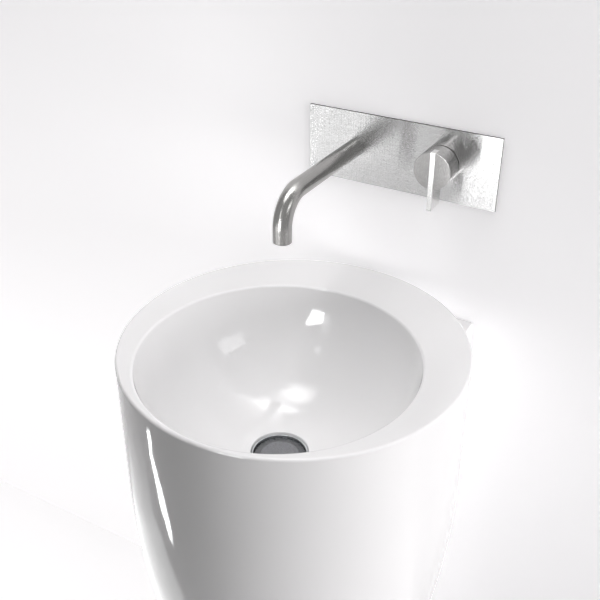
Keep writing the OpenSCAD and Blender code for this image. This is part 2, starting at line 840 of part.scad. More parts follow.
// Concealed mixer: cartridge boss and sleeve, spout boss, hot and cold inlets, and two fixing lugs
module mixer_body() {
    depth = mount_plate_y - mixer_front_y;
    color(brass_yellow) difference() {
        union() {
            along_y(handle_x, mixer_front_y, handle_z) cylinder(r = cartridge_boss_r, h = depth);
            along_y(handle_x, sleeve_front_y, handle_z)
                cylinder(r = sleeve_r, h = mount_plate_y - sleeve_front_y - lug_t);
            along_y(spout_x, mixer_front_y, spout_z) cylinder(r = spout_boss_r, h = depth);
            translate([spout_x, outlet_channel_y - bar_half, outlet_channel_z - bar_half])
                cube([handle_x - spout_x, 2 * bar_half, 2 * bar_half]);
            for (side = [-1, 1]) translate([handle_x + side * inlet_offset, inlet_y, inlet_low_z])
                cylinder(r = inlet_boss_r, h = handle_z - inlet_low_z + inlet_above);
            translate([left_lug_x - lug_out / 2, mount_plate_y - lug_t, spout_z - lug_half_h])
                cube([lug_out + spout_boss_r, lug_t, 2 * lug_half_h]);
            translate([handle_x, mount_plate_y - lug_t, handle_z - lug_half_h])
                cube([right_lug_x + lug_out / 2 - handle_x, lug_t, 2 * lug_half_h]);
        }
        along_y(handle_x, sleeve_front_y - cut, handle_z)
            cylinder(r = sleeve_bore_r, h = socket_y - sleeve_front_y + cut);
        for (side = [-1, 1]) {
            x = handle_x + side * inlet_offset;
            translate([x, inlet_y, inlet_low_z - cut])
                cylinder(r = inlet_bore_r, h = inlet_bore_depth + cut);
            translate([x, inlet_y, inlet_low_z])
                cylinder(r = channel_r, h = handle_z - inlet_low_z + channel_r);
            along_y(handle_x + side * port_offset, socket_y - cut, handle_z)
                cylinder(r = port_r, h = inlet_y - socket_y + cut + channel_r);
            translate([handle_x + side * port_offset, inlet_y, handle_z]) rotate([0, side * 90, 0])
                cylinder(r = cross_r, h = inlet_offset - port_offset);
        }
        along_y(handle_x, socket_y - cut, handle_z - port_offset)
            cylinder(r = port_r, h = outlet_channel_y - socket_y + cut);
        translate([spout_x, outlet_channel_y, outlet_channel_z]) rotate([0, 90, 0])
            cylinder(r = channel_r, h = handle_x - spout_x + channel_r);
        along_y(spout_x, mixer_front_y - cut, spout_z)
            cylinder(r = nipple_r + fit_gap, h = spout_socket + cut);
        for (p = [[left_lug_x, spout_z], [right_lug_x, handle_z]])
            along_y(p[0], mount_plate_y - lug_t - cut, p[1]) cylinder(r = lug_hole_r, h = lug_t + 2 * cut);
    }
}

// Screws through the mixer's lugs and the mounting plate
module mixer_screws() {
    color(zinc) for (p = [[left_lug_x, spout_z], [right_lug_x, handle_z]]) {
        along_y(p[0], mount_plate_y - lug_t - head_t, p[1]) cylinder(r = head_r, h = head_t);
        along_y(p[0], mount_plate_y - lug_t - join, p[1])
            cylinder(r = lug_screw_r, h = lug_t + mount_plate_t + lug_nut_t + lug_screw_out);
    }
}

module mixer_nuts() {
    color(zinc) for (p = [[left_lug_x, spout_z], [right_lug_x, handle_z]])
        along_y(p[0], mount_plate_y + mount_plate_t, p[1])
            hex_nut(lug_nut_r, lug_screw_r + fit_gap, lug_nut_t);
}

// Cuts the two openings of the cover plate and its gasket
module plate_openings() {
    along_y(spout_x, plate_front_y - cut, spout_z)
        cylinder(r = spout_bore_r + free_gap, h = wall_distance - plate_front_y + 2 * cut);
    along_y(handle_x, plate_front_y - cut, handle_z)
        cylinder(r = sleeve_r + free_gap, h = wall_distance - plate_front_y + 2 * cut);
}

// Brushed steel plate that covers the mixer's opening in the wall
module cover_plate() {
    color(steel) difference() {
        translate([plate_x - plate_width / 2, plate_front_y, plate_z - plate_height / 2])
            cube([plate_width, plate_thickness, plate_height]);
        plate_openings();
    }
}

// Foam backing between the cover plate and the wall, set in from the plate's edge
module plate_gasket() {
    width = plate_width - 2 * plate_gasket_inset;
    height = plate_height - 2 * plate_gasket_inset;
    color(rubber_black) difference() {
        translate([plate_x - width / 2, wall_distance - plate_gasket_t, plate_z - height / 2])
            cube([width, plate_gasket_t, height]);
        plate_openings();
    }
}

// Threaded tube that joins the spout to the mixer through the plate
module spout_nipple() {
    start_y = plate_front_y - nipple_in_spout;
    color(brass_yellow) along_y(spout_x, start_y, spout_z)
        ring(nipple_r, nipple_bore_r, mixer_front_y + spout_socket - start_y);
}

// Solid of the spout's route with a given radius: straight run, quarter bend and outlet
module spout_route(radius, past) {
    bend_y = spout_tip_y + spout_bend;
    bend_z = spout_z - spout_bend;
    along_y(spout_x, bend_y, spout_z) cylinder(r = radius, h = plate_front_y - bend_y + past);
    translate([spout_x, bend_y, bend_z]) rotate([90, 0, -90])
        rotate_extrude(angle = 90) translate([spout_bend, 0]) circle(r = radius);
    translate([spout_x, spout_tip_y, spout_tip_z - past])
        cylinder(r = radius, h = bend_z - spout_tip_z + past);
}

// Bent tube with a flat end, screwed over its nipple against the plate
module spout_tube() {
    color(steel) difference() {
        spout_route(spout_r, 0);
        spout_route(spout_bore_r, cut);
        translate([spout_x, set_screw_y, spout_z - spout_r - cut])
            cylinder(r = set_screw_r, h = spout_wall + 2 * cut);
    }
}

// Set screw that locks the spout on its nipple from below
module spout_set_screw() {
    color(steel) translate([spout_x, set_screw_y, spout_z - spout_r + set_screw_sunk])
        cylinder(r = set_screw_r - fit_gap, h = spout_r - nipple_r - set_screw_sunk - fit_gap);
}

// Aerator: a ring with a fine mesh plate, pressed into the outlet
module aerator() {
    ring_h = 12;
    ring_wall = 2;
    mesh_z = 2;
    mesh_t = 1.5;
    hole_r = 0.9;
    pitch = 3.4;
    rows = 2;
    sunk = 0.8;
    color(nylon) translate([spout_x, spout_tip_y, spout_tip_z + sunk]) {
        ring(nipple_r, nipple_r - ring_wall, ring_h);
        translate([0, 0, mesh_z]) difference() {
            cylinder(r = nipple_r - ring_wall + join, h = mesh_t);
            for (i = [-rows : rows], j = [-rows : rows])
                if (norm([i, j]) < rows + join)
                    translate([i * pitch, j * pitch, -cut]) cylinder(r = hole_r, h = mesh_t + 2 * cut);
        }
    }
}

// Fixed collar between the plate and the handle, screwed over the mixer's sleeve
module handle_collar() {
    color(steel) along_y(handle_x, collar_end_y, handle_z) difference() {
        cylinder(r = handle_r, h = collar_length);
        translate([0, 0, collar_front_t]) cylinder(r = sleeve_r + fit_gap, h = collar_length);
        translate([0, 0, -cut]) cylinder(r = stem_r + collar_hole_gap, h = collar_length);
    }
}

// Cartridge: a tube with a nose that holds the stem
module cartridge_body() {
    length = cartridge_back_y - cartridge_front_y;
    color(nylon) along_y(handle_x, cartridge_front_y, handle_z) difference() {
        cylinder(r = cartridge_r, h = length);
        translate([0, 0, cartridge_nose_t]) cylinder(r = cartridge_bore_r, h = length);
        translate([0, 0, -cut]) cylinder(r = stem_r + run_gap, h = length);
    }
}

// Seal under the cartridge, with the three ports
module cartridge_seal() {
    color(rubber_black) along_y(handle_x, cartridge_back_y, handle_z) difference() {
        cylinder(r = cartridge_bore_r, h = seal_t);
        for (a = [0, 90, 180]) rotate([0, 0, a]) translate([port_offset, 0, -cut])
            cylinder(r = port_r, h = seal_t + 2 * cut);
    }
}

// Fixed ceramic disc with the three ports
module fixed_disc() {
    color(china) along_y(handle_x, fixed_disc_y, handle_z) difference() {
        cylinder(r = cartridge_bore_r - fit_gap, h = disc_t);
        for (a = [0, 90, 180]) rotate([0, 0, a]) translate([port_offset, 0, -cut])
            cylinder(r = port_r, h = disc_t + 2 * cut);
    }
}

// Moving ceramic disc, with a curved pocket that joins the ports as it turns
module moving_disc() {
    color(china) along_y(handle_x, moving_disc_y, handle_z) difference() {
        cylinder(r = carrier_r, h = disc_t);
        rotate([0, 0, pocket_start]) translate([0, 0, disc_t / 2]) rotate_extrude(angle = pocket_turn)
            translate([port_offset - port_r, 0]) square([2 * port_r, disc_t]);
    }
}

// Stem with the carrier that turns the moving disc
module cartridge_stem() {
    color(brass_yellow) {
        along_y(handle_x, stem_front_y, handle_z) cylinder(r = stem_r, h = carrier_y - stem_front_y + join);
        along_y(handle_x, carrier_y, handle_z) cylinder(r = carrier_r, h = carrier_t);
    }
}

// Threaded ring that holds the cartridge in the sleeve
module cartridge_nut() {
    color(brass_yellow) along_y(handle_x, sleeve_front_y, handle_z)
        ring(sleeve_bore_r - fit_gap, stem_r + nut_bore_gap, cartridge_nut_t);
}

// Round handle: slot in front for the blade, bore behind for the stem, hole at the side for the grub screw
module handle_body() {
    color(steel) along_y(handle_x, handle_front_y, handle_z) difference() {
        cylinder(r = handle_r, h = handle_length);
        translate([-blade_thickness / 2 - fit_gap, -handle_r - cut, -cut])
            cube([blade_thickness + 2 * fit_gap, 2 * (handle_r + cut), blade_slot_depth + cut]);
        translate([0, 0, handle_length - stem_in_handle - face_gap])
            cylinder(r = stem_r + fit_gap, h = stem_in_handle + cut);
        translate([-handle_r - cut, 0, handle_length - stem_in_handle / 2]) rotate([0, 90, 0])
            cylinder(r = grub_r, h = handle_r);
    }
}

// Lever blade: a flat bar set in the handle's slot, hanging below it over the handle's whole length
module lever_blade() {
    left = handle_x - blade_thickness / 2;
    front_y = handle_front_y - blade_proud;
    color(steel) {
        translate([left, front_y, handle_z - handle_r - blade_overlap])
            cube([blade_thickness, blade_slot_depth + blade_proud - fit_gap,
                  blade_top + handle_r + blade_overlap]);
        translate([left, front_y, handle_z - blade_reach])
            cube([blade_thickness, handle_length + blade_proud, blade_reach - handle_r - blade_gap]);
    }
}

// Grub screw that locks the handle on the stem
module handle_grub_screw() {
    screw_y = handle_back_y - stem_in_handle / 2;
    color(steel) translate([handle_x - handle_r + grub_sunk, screw_y, handle_z]) rotate([0, 90, 0])
        cylinder(r = grub_r - fit_gap, h = handle_r - stem_r - grub_sunk - 2 * fit_gap);
}

rim();
bowl();
pedestal();
wall_strip_seal();
stud_sleeves();
wall_studs();
stud_washers();
stud_nuts();
anchor_nuts();
floor_brackets();
side_screws();
screw_caps();
flange_seal();
waste_body();
lower_seal();
waste_locknut();
plug_guide();
plug_cap();
plug_seal();
plug_spindle();
trap_inlet_nut();
inlet_washer();
trap_inlet_tube();
trap_neck_nut();
trap_neck_seal();
trap_body();
cup_seal();
trap_cup();
trap_outlet_nut();
outlet_seal();
trap_outlet_tube();
outlet_rosette();
mounting_plate();
mixer_body();
mixer_screws();
mixer_nuts();
cover_plate();
plate_gasket();
spout_nipple();
spout_tube();
spout_set_screw();
aerator();
handle_collar();
cartridge_body();
cartridge_seal();
fixed_disc();
moving_disc();
cartridge_stem();
cartridge_nut();
handle_body();
lever_blade();
handle_grub_screw();
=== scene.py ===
import json
import math
import bmesh
import bpy
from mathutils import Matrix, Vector


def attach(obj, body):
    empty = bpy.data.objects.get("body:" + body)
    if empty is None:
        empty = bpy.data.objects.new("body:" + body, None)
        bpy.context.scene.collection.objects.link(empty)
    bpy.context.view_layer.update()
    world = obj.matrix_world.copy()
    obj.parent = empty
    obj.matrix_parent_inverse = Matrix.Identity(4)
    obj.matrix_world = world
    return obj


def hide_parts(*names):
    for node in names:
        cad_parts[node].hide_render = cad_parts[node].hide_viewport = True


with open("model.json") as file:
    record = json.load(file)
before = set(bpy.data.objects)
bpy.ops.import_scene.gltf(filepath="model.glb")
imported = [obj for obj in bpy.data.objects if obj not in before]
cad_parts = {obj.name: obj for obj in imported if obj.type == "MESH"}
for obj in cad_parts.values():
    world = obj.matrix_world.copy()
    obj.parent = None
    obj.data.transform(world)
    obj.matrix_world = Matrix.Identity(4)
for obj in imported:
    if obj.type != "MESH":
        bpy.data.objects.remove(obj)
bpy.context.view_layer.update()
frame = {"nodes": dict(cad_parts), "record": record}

scene = bpy.context.scene

# ---- Camera ----
# Stands in front of the basin at standing height, to its right, and looks down into the bowl.
camera_data = bpy.data.cameras.new("camera")
camera_data.lens = 53.38
camera_data.sensor_width = 36
camera = bpy.data.objects.new("camera", camera_data)
camera.location = (0.47497, -0.81541, 1.47701)
camera.rotation_euler = (math.radians(90 - 30.865), 0, math.radians(29.764))
scene.collection.objects.link(camera)
scene.camera = camera
scene.view_settings.view_transform = "Standard"


# ---- Wall and floor ----
# A smooth painted wall that the basin stands against, and a pale floor of the same paint. Both fade
# out towards their edges, and the wall can be looked through from behind, where the fixings are.
def linear(code):
    """An sRGB hex colour as linear red, green, blue and alpha."""
    parts = [int(code[i:i + 2], 16) / 255 for i in (1, 3, 5)]
    return tuple(c / 12.92 if c <= 0.04045 else ((c + 0.055) / 1.055) ** 2.4 for c in parts) + (1.0,)


def add(material, kind, sockets=None, **settings):
    """Adds a node to a material or a node tree. A socket is given a value, or another node's output to link."""
    tree = getattr(material, "node_tree", material)
    node = tree.nodes.new(kind)
    for name, value in settings.items():
        setattr(node, name, value)
    for name, value in (sockets or {}).items():
        if isinstance(value, bpy.types.NodeSocket):
            tree.links.new(value, node.inputs[name])
        else:
            node.inputs[name].default_value = value
    return node


def blank(name):
    """A new material with an empty node tree."""
    material = bpy.data.materials.new(name)
    material.use_nodes = True
    material.node_tree.nodes.clear()
    return material


def mesh_object(name, points, faces):
    """A closed, smooth mesh object from points in millimetres, with its doubles merged."""
    mesh = bpy.data.meshes.new(name)
    mesh.from_pydata([(x / 1000, y / 1000, z / 1000) for x, y, z in points], [], faces)
    shape = bmesh.new()
    shape.from_mesh(mesh)
    bmesh.ops.remove_doubles(shape, verts=shape.verts, dist=0.00001)
    if len(faces) > 1:
        bmesh.ops.recalc_face_normals(shape, faces=shape.faces)
    shape.to_mesh(mesh)
    shape.free()
    item = bpy.data.objects.new(name, mesh)
    scene.collection.objects.link(item)
    return item


def oval(material, centre, half, clear_from):
    """How clear a stage surface is: 0 near the centre, 1 beyond an oval. half is the oval's half-size in metres
    on each axis, or 0 for the axis that the surface faces."""
    scale = [1 / h if h else 0.0 for h in half]
    place = add(material, "ShaderNodeTexCoord").outputs["Object"]
    moved = add(material, "ShaderNodeMapping", {
        "Vector": place, "Scale": scale, "Location": [-c * k for c, k in zip(centre, scale)]})
    distance = add(material, "ShaderNodeVectorMath", {0: moved.outputs["Vector"]}, operation="LENGTH")
    return add(material, "ShaderNodeMapRange", {
        "Value": distance.outputs["Value"], "From Min": clear_from, "From Max": 1.0,
    }, interpolation_type="SMOOTHSTEP").outputs["Result"]


LIGHT_TINT = (1.0, 0.98, 0.99)


def paint(material, clear, colour, bounce, lift):
    """Matt paint for a stage surface. It shows colour, lights the object by bounce, and is lifted towards white
    for the camera and for reflections alone."""
    rays = add(material, "ShaderNodeLightPath").outputs
    shown = add(material, "ShaderNodeMath", {0: rays["Is Camera Ray"], 1: rays["Is Glossy Ray"]},
                operation="MAXIMUM")
    tone = add(material, "ShaderNodeMix", {"Factor": rays["Is Diffuse Ray"], 6: colour, 7: bounce},
               data_type="RGBA")
    matt = add(material, "ShaderNodeBsdfDiffuse", {"Color": tone.outputs[2]})
    strength = add(material, "ShaderNodeMath", {0: shown.outputs[0], 1: lift}, operation="MULTIPLY")
    glow = add(material, "ShaderNodeEmission", {"Color": LIGHT_TINT + (1.0,), "Strength": strength.outputs[0]})
    both = add(material, "ShaderNodeAddShader", {0: matt.outputs[0], 1: glow.outputs[0]})
    hole = add(material, "ShaderNodeBsdfTransparent")
    mixed = add(material, "ShaderNodeMixShader", {0: clear, 1: both.outputs[0], 2: hole.outputs[0]})
    add(material, "ShaderNodeOutputMaterial", {"Surface": mixed.outputs[0]})


WALL_Y, FLOOR_Z = 234.1, -1
wall = mesh_object("wall", [(-3000, WALL_Y, -400), (1800, WALL_Y, -400), (1800, WALL_Y, 3000),
                            (-3000, WALL_Y, 3000)], [(0, 1, 2, 3)])
# The wall's paint is a cool white. A painted glow, which only the camera and reflections see, makes it paler to the
# left and low down.
wall_paint = blank("wall_paint")
behind = add(wall_paint, "ShaderNodeNewGeometry").outputs["Backfacing"]
edge = oval(wall_paint, (-0.45, 0, 0.9), (1.8, 0, 1.6), 0.6)
either = add(wall_paint, "ShaderNodeMath", {0: behind, 1: edge}, operation="MAXIMUM").outputs[0]
place = add(wall_paint, "ShaderNodeTexCoord").outputs["Object"]
spread = add(wall_paint, "ShaderNodeSeparateXYZ", {"Vector": place})
across, upward = spread.outputs["X"], spread.outputs["Z"]
# Painted light: a glow that is strongest on the left and low down on the wall, and weaker to the right.
left_painted_glow = add(wall_paint, "ShaderNodeMapRange", {
    "Value": upward, "From Min": 0.45, "From Max": 1.2, "To Min": 0.82, "To Max": 0.46}).outputs["Result"]
wall_painted_glow = add(wall_paint, "ShaderNodeMapRange", {
    "Value": across, "From Min": -0.32, "From Max": 0.12, "To Min": left_painted_glow, "To Max": 0.30},
    interpolation_type="SMOOTHSTEP").outputs["Result"]
paint(wall_paint, either, linear("#f4f4f5"), linear("#f4f4f5"), wall_painted_glow)
wall.data.materials.append(wall_paint)

floor = mesh_object("floor", [(-4000, -4000, FLOOR_Z), (4000, -4000, FLOOR_Z), (4000, 3000, FLOOR_Z),
                              (-4000, 3000, FLOOR_Z)], [(0, 1, 2, 3)])
# The floor's paint is a neutral white. It keeps the object's shadow.
floor_paint = blank("floor_paint")
paint(floor_paint, oval(floor_paint, (0, -0.2, 0), (2.6, 2.6, 0), 0.35), linear("#f2f2f2"), linear("#9c9c9c"), 0.57)
floor.data.materials.append(floor_paint)


# ---- Light ----
# Soft studio light from the right, low over the floor, and from above the wall. The lamps light the
# object; what its glaze and metal mirror are the white cards below, which only reflections see.
def softbox(name, place, target, size, watts):
    """A square area lamp that faces a point and isn't mirrored."""
    lamp = bpy.data.lights.new(name, "AREA")
    lamp.shape, lamp.size, lamp.energy, lamp.color = "SQUARE", size, watts, LIGHT_TINT
    item = bpy.data.objects.new(name, lamp)
    item.location = place
    item.rotation_euler = (Vector(target) - Vector(place)).to_track_quat("-Z", "Y").to_euler()
    item.visible_glossy = False
    scene.collection.objects.link(item)


softbox("key_low", (2.75, -0.35, 0.85), (0, 0, 0.8), 1.0, 49)
softbox("key_high", (2.75, -0.35, 2.05), (0, 0, 0.8), 1.3, 17)
softbox("overhead", (-0.45, -0.05, 3.0), (0, 0, 0.85), 0.8, 17.8)
softbox("overhead_left", (-1.1, -0.05, 2.8), (0, 0, 0.85), 0.8, 12.7)
softbox("overhead_right", (1.2, -0.6, 2.6), (0, 0, 0.8), 1.0, 5.2)


def card(name, rows, strength, sides, near, far):
    """A white card that only reflections see. rows are pairs of points in metres, from its near end to its far
    end. sides, near and far are the shares of it that fade out."""
    mesh = bpy.data.meshes.new(name)
    mesh.from_pydata([point for row in rows for point in row], [],
                     [(2 * k, 2 * k + 1, 2 * k + 3, 2 * k + 2) for k in range(len(rows) - 1)])
    layer = mesh.uv_layers.new(name="UVMap")
    for loop in mesh.loops:
        row, side = divmod(loop.vertex_index, 2)
        layer.data[loop.index].uv = (side, row / (len(rows) - 1))
    item = bpy.data.objects.new(name, mesh)
    scene.collection.objects.link(item)
    item.visible_camera = item.visible_diffuse = item.visible_shadow = item.visible_transmission = False
    white = blank(name)
    parts = add(white, "ShaderNodeSeparateXYZ", {
        "Vector": add(white, "ShaderNodeTexCoord").outputs["UV"]}).outputs
    fade = 1.0
    for axis, share, flip in (("X", sides, False), ("X", sides, True), ("Y", near, False), ("Y", far, True)):
        ramp = add(white, "ShaderNodeMapRange", {
            "Value": parts[axis], "From Min": 1.0 if flip else 0.0, "From Max": 1 - share if flip else share},
            interpolation_type="SMOOTHSTEP")
        fade = add(white, "ShaderNodeMath", {0: fade, 1: ramp.outputs[0]}, operation="MULTIPLY").outputs[0]
    shine = add(white, "ShaderNodeEmission", {"Strength": strength})
    nothing = add(white, "ShaderNodeBsdfTransparent")
    mixed = add(white, "ShaderNodeMixShader", {0: fade, 1: nothing.outputs[0], 2: shine.outputs[0]})
    add(white, "ShaderNodeOutputMaterial", {"Surface": mixed.outputs[0]})
    mesh.materials.append(white)


def upright(y, *pairs):
    """Rows of points on a plane that faces the basin, from (x, z) pairs."""
    return [[(x, y, z) for x, z in pair] for pair in pairs]


def lying(z, *pairs):
    """Rows of points on a level plane, from (x, y) pairs."""
    return [[(x, y, z) for x, y in pair] for pair in pairs]


# Overhead softboxes, as the two soft patches in the bowl above the waste.
card("card_overhead", lying(2.6, [(0.46, 0.06), (0.08, -0.84)], [(-0.14, 0.08), (-0.39, -0.88)],
                            [(-0.75, -0.05), (-1.10, -0.92)]), 8.5, 0.5, 0.45, 0.45)
card("card_overhead_back", [[(-0.26, 0.21, 1.10), (0.42, 0.21, 1.10)], [(-0.32, 0.21, 2.55), (0.60, 0.21, 2.55)],
                            [(-0.75, 0.05, 2.62), (0.50, 0.05, 2.62)], [(-0.85, -0.16, 2.62), (0.35, -0.16, 2.62)]],
     9, 0.4, 0.35, 0.4)
# A tall window in front of the basin, as the white patch at the bowl's back.
card("card_front", upright(-2.4, [(-0.67, 0.20), (0.24, 0.33)], [(-0.63, 0.92), (0.12, 1.12)],
                           [(-0.46, 1.38), (0.27, 1.58)], [(-0.30, 1.50), (0.20, 1.72)]), 16, 0.06, 0.05, 0.12)
# A flag as grey as the room, which hides part of that window from the tap when it is seen from the front.
ROOM_LEVEL = 0.48
card("flag_front", upright(-0.55, [(-0.22, 1.05), (0.32, 1.05)], [(-0.22, 1.20), (0.32, 1.20)]),
     ROOM_LEVEL, 0.02, 0.02, 0.02)
# A weaker window to the right, as the faint patch in the bowl's left side.
card("card_right", [[(2.4, 0.10, 1.68), (2.4, 0.06, 2.40)], [(2.4, -1.25, 1.95), (2.4, -1.30, 2.62)]],
     3.4, 0.12, 0.12, 0.12)
# Bright floor to the left, as the long strip and the white side on the body, and in front for the metal.
card("card_floor_strip", lying(0.003, [(-1.10, -0.41), (-1.08, -0.49)], [(-1.05, -0.42), (-1.03, -0.49)],
                               [(-0.99, -0.41), (-0.97, -0.46)], [(-0.94, -0.42), (-0.92, -0.49)],
                               [(-0.83, -0.44), (-0.80, -0.52)], [(-0.71, -0.48), (-0.69, -0.54)],
                               [(-0.62, -0.51), (-0.60, -0.53)]), 16, 0.12, 0.02, 0.1)
card("card_floor_left", lying(0.002, [(-1.15, 0.22), (-1.10, -0.30)], [(-0.82, 0.22), (-0.81, -0.33)],
                              [(-0.70, 0.22), (-0.69, -0.43)], [(-0.45, 0.22), (-0.50, -0.43)],
                              [(-0.27, 0.10), (-0.30, -0.37)]), 2.0, 0.10, 0.45, 0.05)
card("card_floor_front", lying(0.002, [(-2.8, -1.1), (-0.60, -1.1)], [(-3.6, -5.0), (-1.35, -5.0)]),
     1.8, 0.16, 0.2, 0.2)
# A narrow upright strip in front, as the white band at the right of the tap's plate.
card("card_band", upright(-1.86, [(-0.53, 0.0), (-0.30, 0.0)], [(-0.53, 2.4), (-0.30, 2.4)]), 3.4, 0.02, 0.03, 0.03)

# The room around the stage: dim for the object's light, grey in its reflections, and white for the camera.
world = bpy.data.worlds.new("studio")
world.use_nodes = True
world.node_tree.nodes.clear()
path = add(world, "ShaderNodeLightPath")
seen = add(world, "ShaderNodeMath", {0: path.outputs["Is Camera Ray"], 1: path.outputs["Is Transmission Ray"]},
           operation="MAXIMUM")
level = add(world, "ShaderNodeMapRange", {"Value": path.outputs["Is Glossy Ray"], "To Min": 0.15,
                                           "To Max": ROOM_LEVEL})
level = add(world, "ShaderNodeMath", {0: level.outputs[0], 1: seen.outputs[0]}, operation="MAXIMUM")
sky = add(world, "ShaderNodeBackground", {"Color": linear("#ffffff"), "Strength": level.outputs[0]})
add(world, "ShaderNodeOutputWorld", {"Surface": sky.outputs[0]})
scene.world = world


# ---- Ceramic basin ----
# One slip-cast vitreous china casting: bowl, flat rim, hollow round body and the spine that reaches
# the wall, glazed white all over. It stands on its foot ring and is bolted to the wall and the floor.
BODY_R, SPINE_W, SPINE_Y, SHELL = 225.0, 160.0, 232.0, 12.0
RIM_Z, SPINE_Z, EDGE = 850.0, 804.0, 3.5
MOUTH_Y, BOWL_R, BOWL_Z, BOWL_WALL = -39.0, 181.09, 877.59, 9.5
CURVE_TOP, CURVE_END, CURVE_SCALE, FOOT_SLOPE = 670, 450, 2500, 0.176


def body_r(z):
    """Radius of the round body: upright, then a long curve, then a straight slope to the foot."""
    if z >= CURVE_TOP:
        return BODY_R
    if z >= CURVE_END:
        return BODY_R - (CURVE_TOP - z) ** 2 / CURVE_SCALE
    return BODY_R - (CURVE_TOP - CURVE_END) ** 2 / CURVE_SCALE - FOOT_SLOPE * (CURVE_END - z)


def plan(z, inset):
    """The body's outline in plan at a height: round in front, straight sides behind, as (x, y) columns."""
    r = body_r(z) - inset
    w = SPINE_W * body_r(z) / BODY_R - inset
    back, blend, corner = SPINE_Y - inset, 9.0, 4.0
    blend_y = math.sqrt((r + blend) ** 2 - (w + blend) ** 2)
    end = math.atan2(blend_y, w + blend)
    half = []
    for k in range(100):
        a = -math.pi / 2 + (end + math.pi / 2) * k / 100
        half.append((r * math.cos(a), r * math.sin(a)))
    for k in range(6):
        a = math.pi + end * (1 - k / 6)
        half.append((w + blend + blend * math.cos(a), blend_y + blend * math.sin(a)))
    for k in range(6):
        half.append((w, blend_y + (back - corner - blend_y) * k / 6))
    for k in range(6):
        a = math.pi / 2 * k / 6
        half.append((w - corner + corner * math.cos(a), back - corner + corner * math.sin(a)))
    for k in range(23):
        half.append(((w - corner) * (1 - k / 22), back))
    return half + [(-x, y) for x, y in reversed(half[1:-1])]


def at(points, z):
    """Puts plan points at one height."""
    return [(x, y, z) for x, y in points]


def skin(rows, loop=False):
    """The points and faces of a surface over closed rows of points. loop joins the last row to the first."""
    n, count = len(rows[0]), len(rows)
    faces = [(j * n + i, j * n + (i + 1) % n, (j + 1) % count * n + (i + 1) % n, (j + 1) % count * n + i)
             for j in range(count if loop else count - 1) for i in range(n)]
    return [p for row in rows for p in row], faces


def quarter(steps=7):
    """Pairs of sine and cosine over a quarter turn."""
    return [(math.sin(math.pi / 2 * k / steps), math.cos(math.pi / 2 * k / steps)) for k in range(steps + 1)]


top_plan = plan(SPINE_Z, 0)
turns = [math.atan2(y, x) for x, y in top_plan]
inner_turns = [math.atan2(y, x) for x, y in plan(SPINE_Z - SHELL, SHELL)]
aims = [math.atan2(BODY_R * math.sin(a) - MOUTH_Y, BODY_R * math.cos(a)) for a in turns]


def drum_row(radius, z):
    """A level circle round the body's axis, with a point for each point of the plan."""
    return [(radius * math.cos(a), radius * math.sin(a), z) for a in turns]


def bowl_row(radius, z):
    """A level circle round the bowl's axis, with its points across from those of the drum."""
    return [(radius * math.cos(a), MOUTH_Y + radius * math.sin(a), z) for a in aims]


def spine_row(extra, z):
    """A level row that stands out from the drum by what extra gives for each point."""
    return [((BODY_R + d) * math.cos(a), (BODY_R + d) * math.sin(a), z) for a, d in zip(turns, extra)]


# The outside, from the foot up to the spine's top.
rows = [at(plan(0, EDGE * (1 - s)), EDGE * (1 - c)) for s, c in quarter(4)]
heights = [30 * k for k in range(1, 15)] + [435 + 9 * k for k in range(27)] + [700, 740, 770, 790]
rows += [at(plan(z, 0), z) for z in heights]
# The spine's top: its rounded outer edge, its flat, and the cove where it meets the drum.
SPINE_EDGE, SPINE_COVE = 4, 6
reach = [max(0.0, math.hypot(x, y) - BODY_R) for x, y in top_plan]
edges, coves = ([min(size, d * 0.4) for d in reach] for size in (SPINE_EDGE, SPINE_COVE))
for s, c in quarter(6):
    rows.append(spine_row([d - e * (1 - c) for d, e in zip(reach, edges)], SPINE_Z - SPINE_EDGE * (1 - s)))
for part in (0.35, 0.7):
    rows.append(spine_row([d - e - (d - e - f) * part for d, e, f in zip(reach, edges, coves)], SPINE_Z))
for s, c in quarter(6):
    rows.append(spine_row([f * (1 - s) for f in coves], SPINE_Z + SPINE_COVE * (1 - c)))
# The drum above it, the flat rim with both its edges rounded, and the round hollow of the bowl.
rows += [drum_row(BODY_R, 828)]
rows += [drum_row(BODY_R - EDGE * (1 - c), RIM_Z - EDGE * (1 - s)) for s, c in quarter()]
lip_r = math.sqrt((BOWL_R + EDGE) ** 2 - (BOWL_Z - RIM_Z + EDGE) ** 2)
outer_flat, inner_flat = drum_row(BODY_R - EDGE, RIM_Z), bowl_row(lip_r, RIM_Z)
for part in (0.02, 0.5, 0.98):
    rows.append([tuple(p + (q - p) * part for p, q in zip(a, b)) for a, b in zip(outer_flat, inner_flat)])
lip_end = math.asin(lip_r / (BOWL_R + EDGE))
for k in range(8):
    a = lip_end * k / 7
    rows.append(bowl_row(lip_r - EDGE * math.sin(a), RIM_Z - EDGE + EDGE * math.cos(a)))
SEAT_R, SEAT_Z, OUTLET_R, BOSS_R, BOSS_Z = 38.4, 687, 22.7, 44, 677
first, last = lip_end, math.asin((SEAT_R + 0.8) / BOWL_R)
for k in range(1, 41):
    a = first + (last - first) * k / 40
    rows.append(bowl_row(BOWL_R * math.sin(a), BOWL_Z - BOWL_R * math.cos(a)))
seat_top = BOWL_Z - BOWL_R * math.cos(last)
# The seat for the waste's flange, the outlet hole, and the boss that the locknut pulls against.
for radius, z in ((SEAT_R + 0.5, seat_top - 0.15), (SEAT_R + 0.15, seat_top - 0.45), (SEAT_R, seat_top - 1.0),
                  (SEAT_R, SEAT_Z + 0.4), (SEAT_R - 0.4, SEAT_Z),
                  (OUTLET_R + 0.2, SEAT_Z), (OUTLET_R, SEAT_Z - 0.2), (OUTLET_R, BOSS_Z + 0.3),
                  (OUTLET_R + 0.3, BOSS_Z), (BOSS_R - 1, BOSS_Z), (BOSS_R, BOSS_Z + 1), (BOSS_R, SEAT_Z + 4.4)):
    rows.append(bowl_row(radius, z))
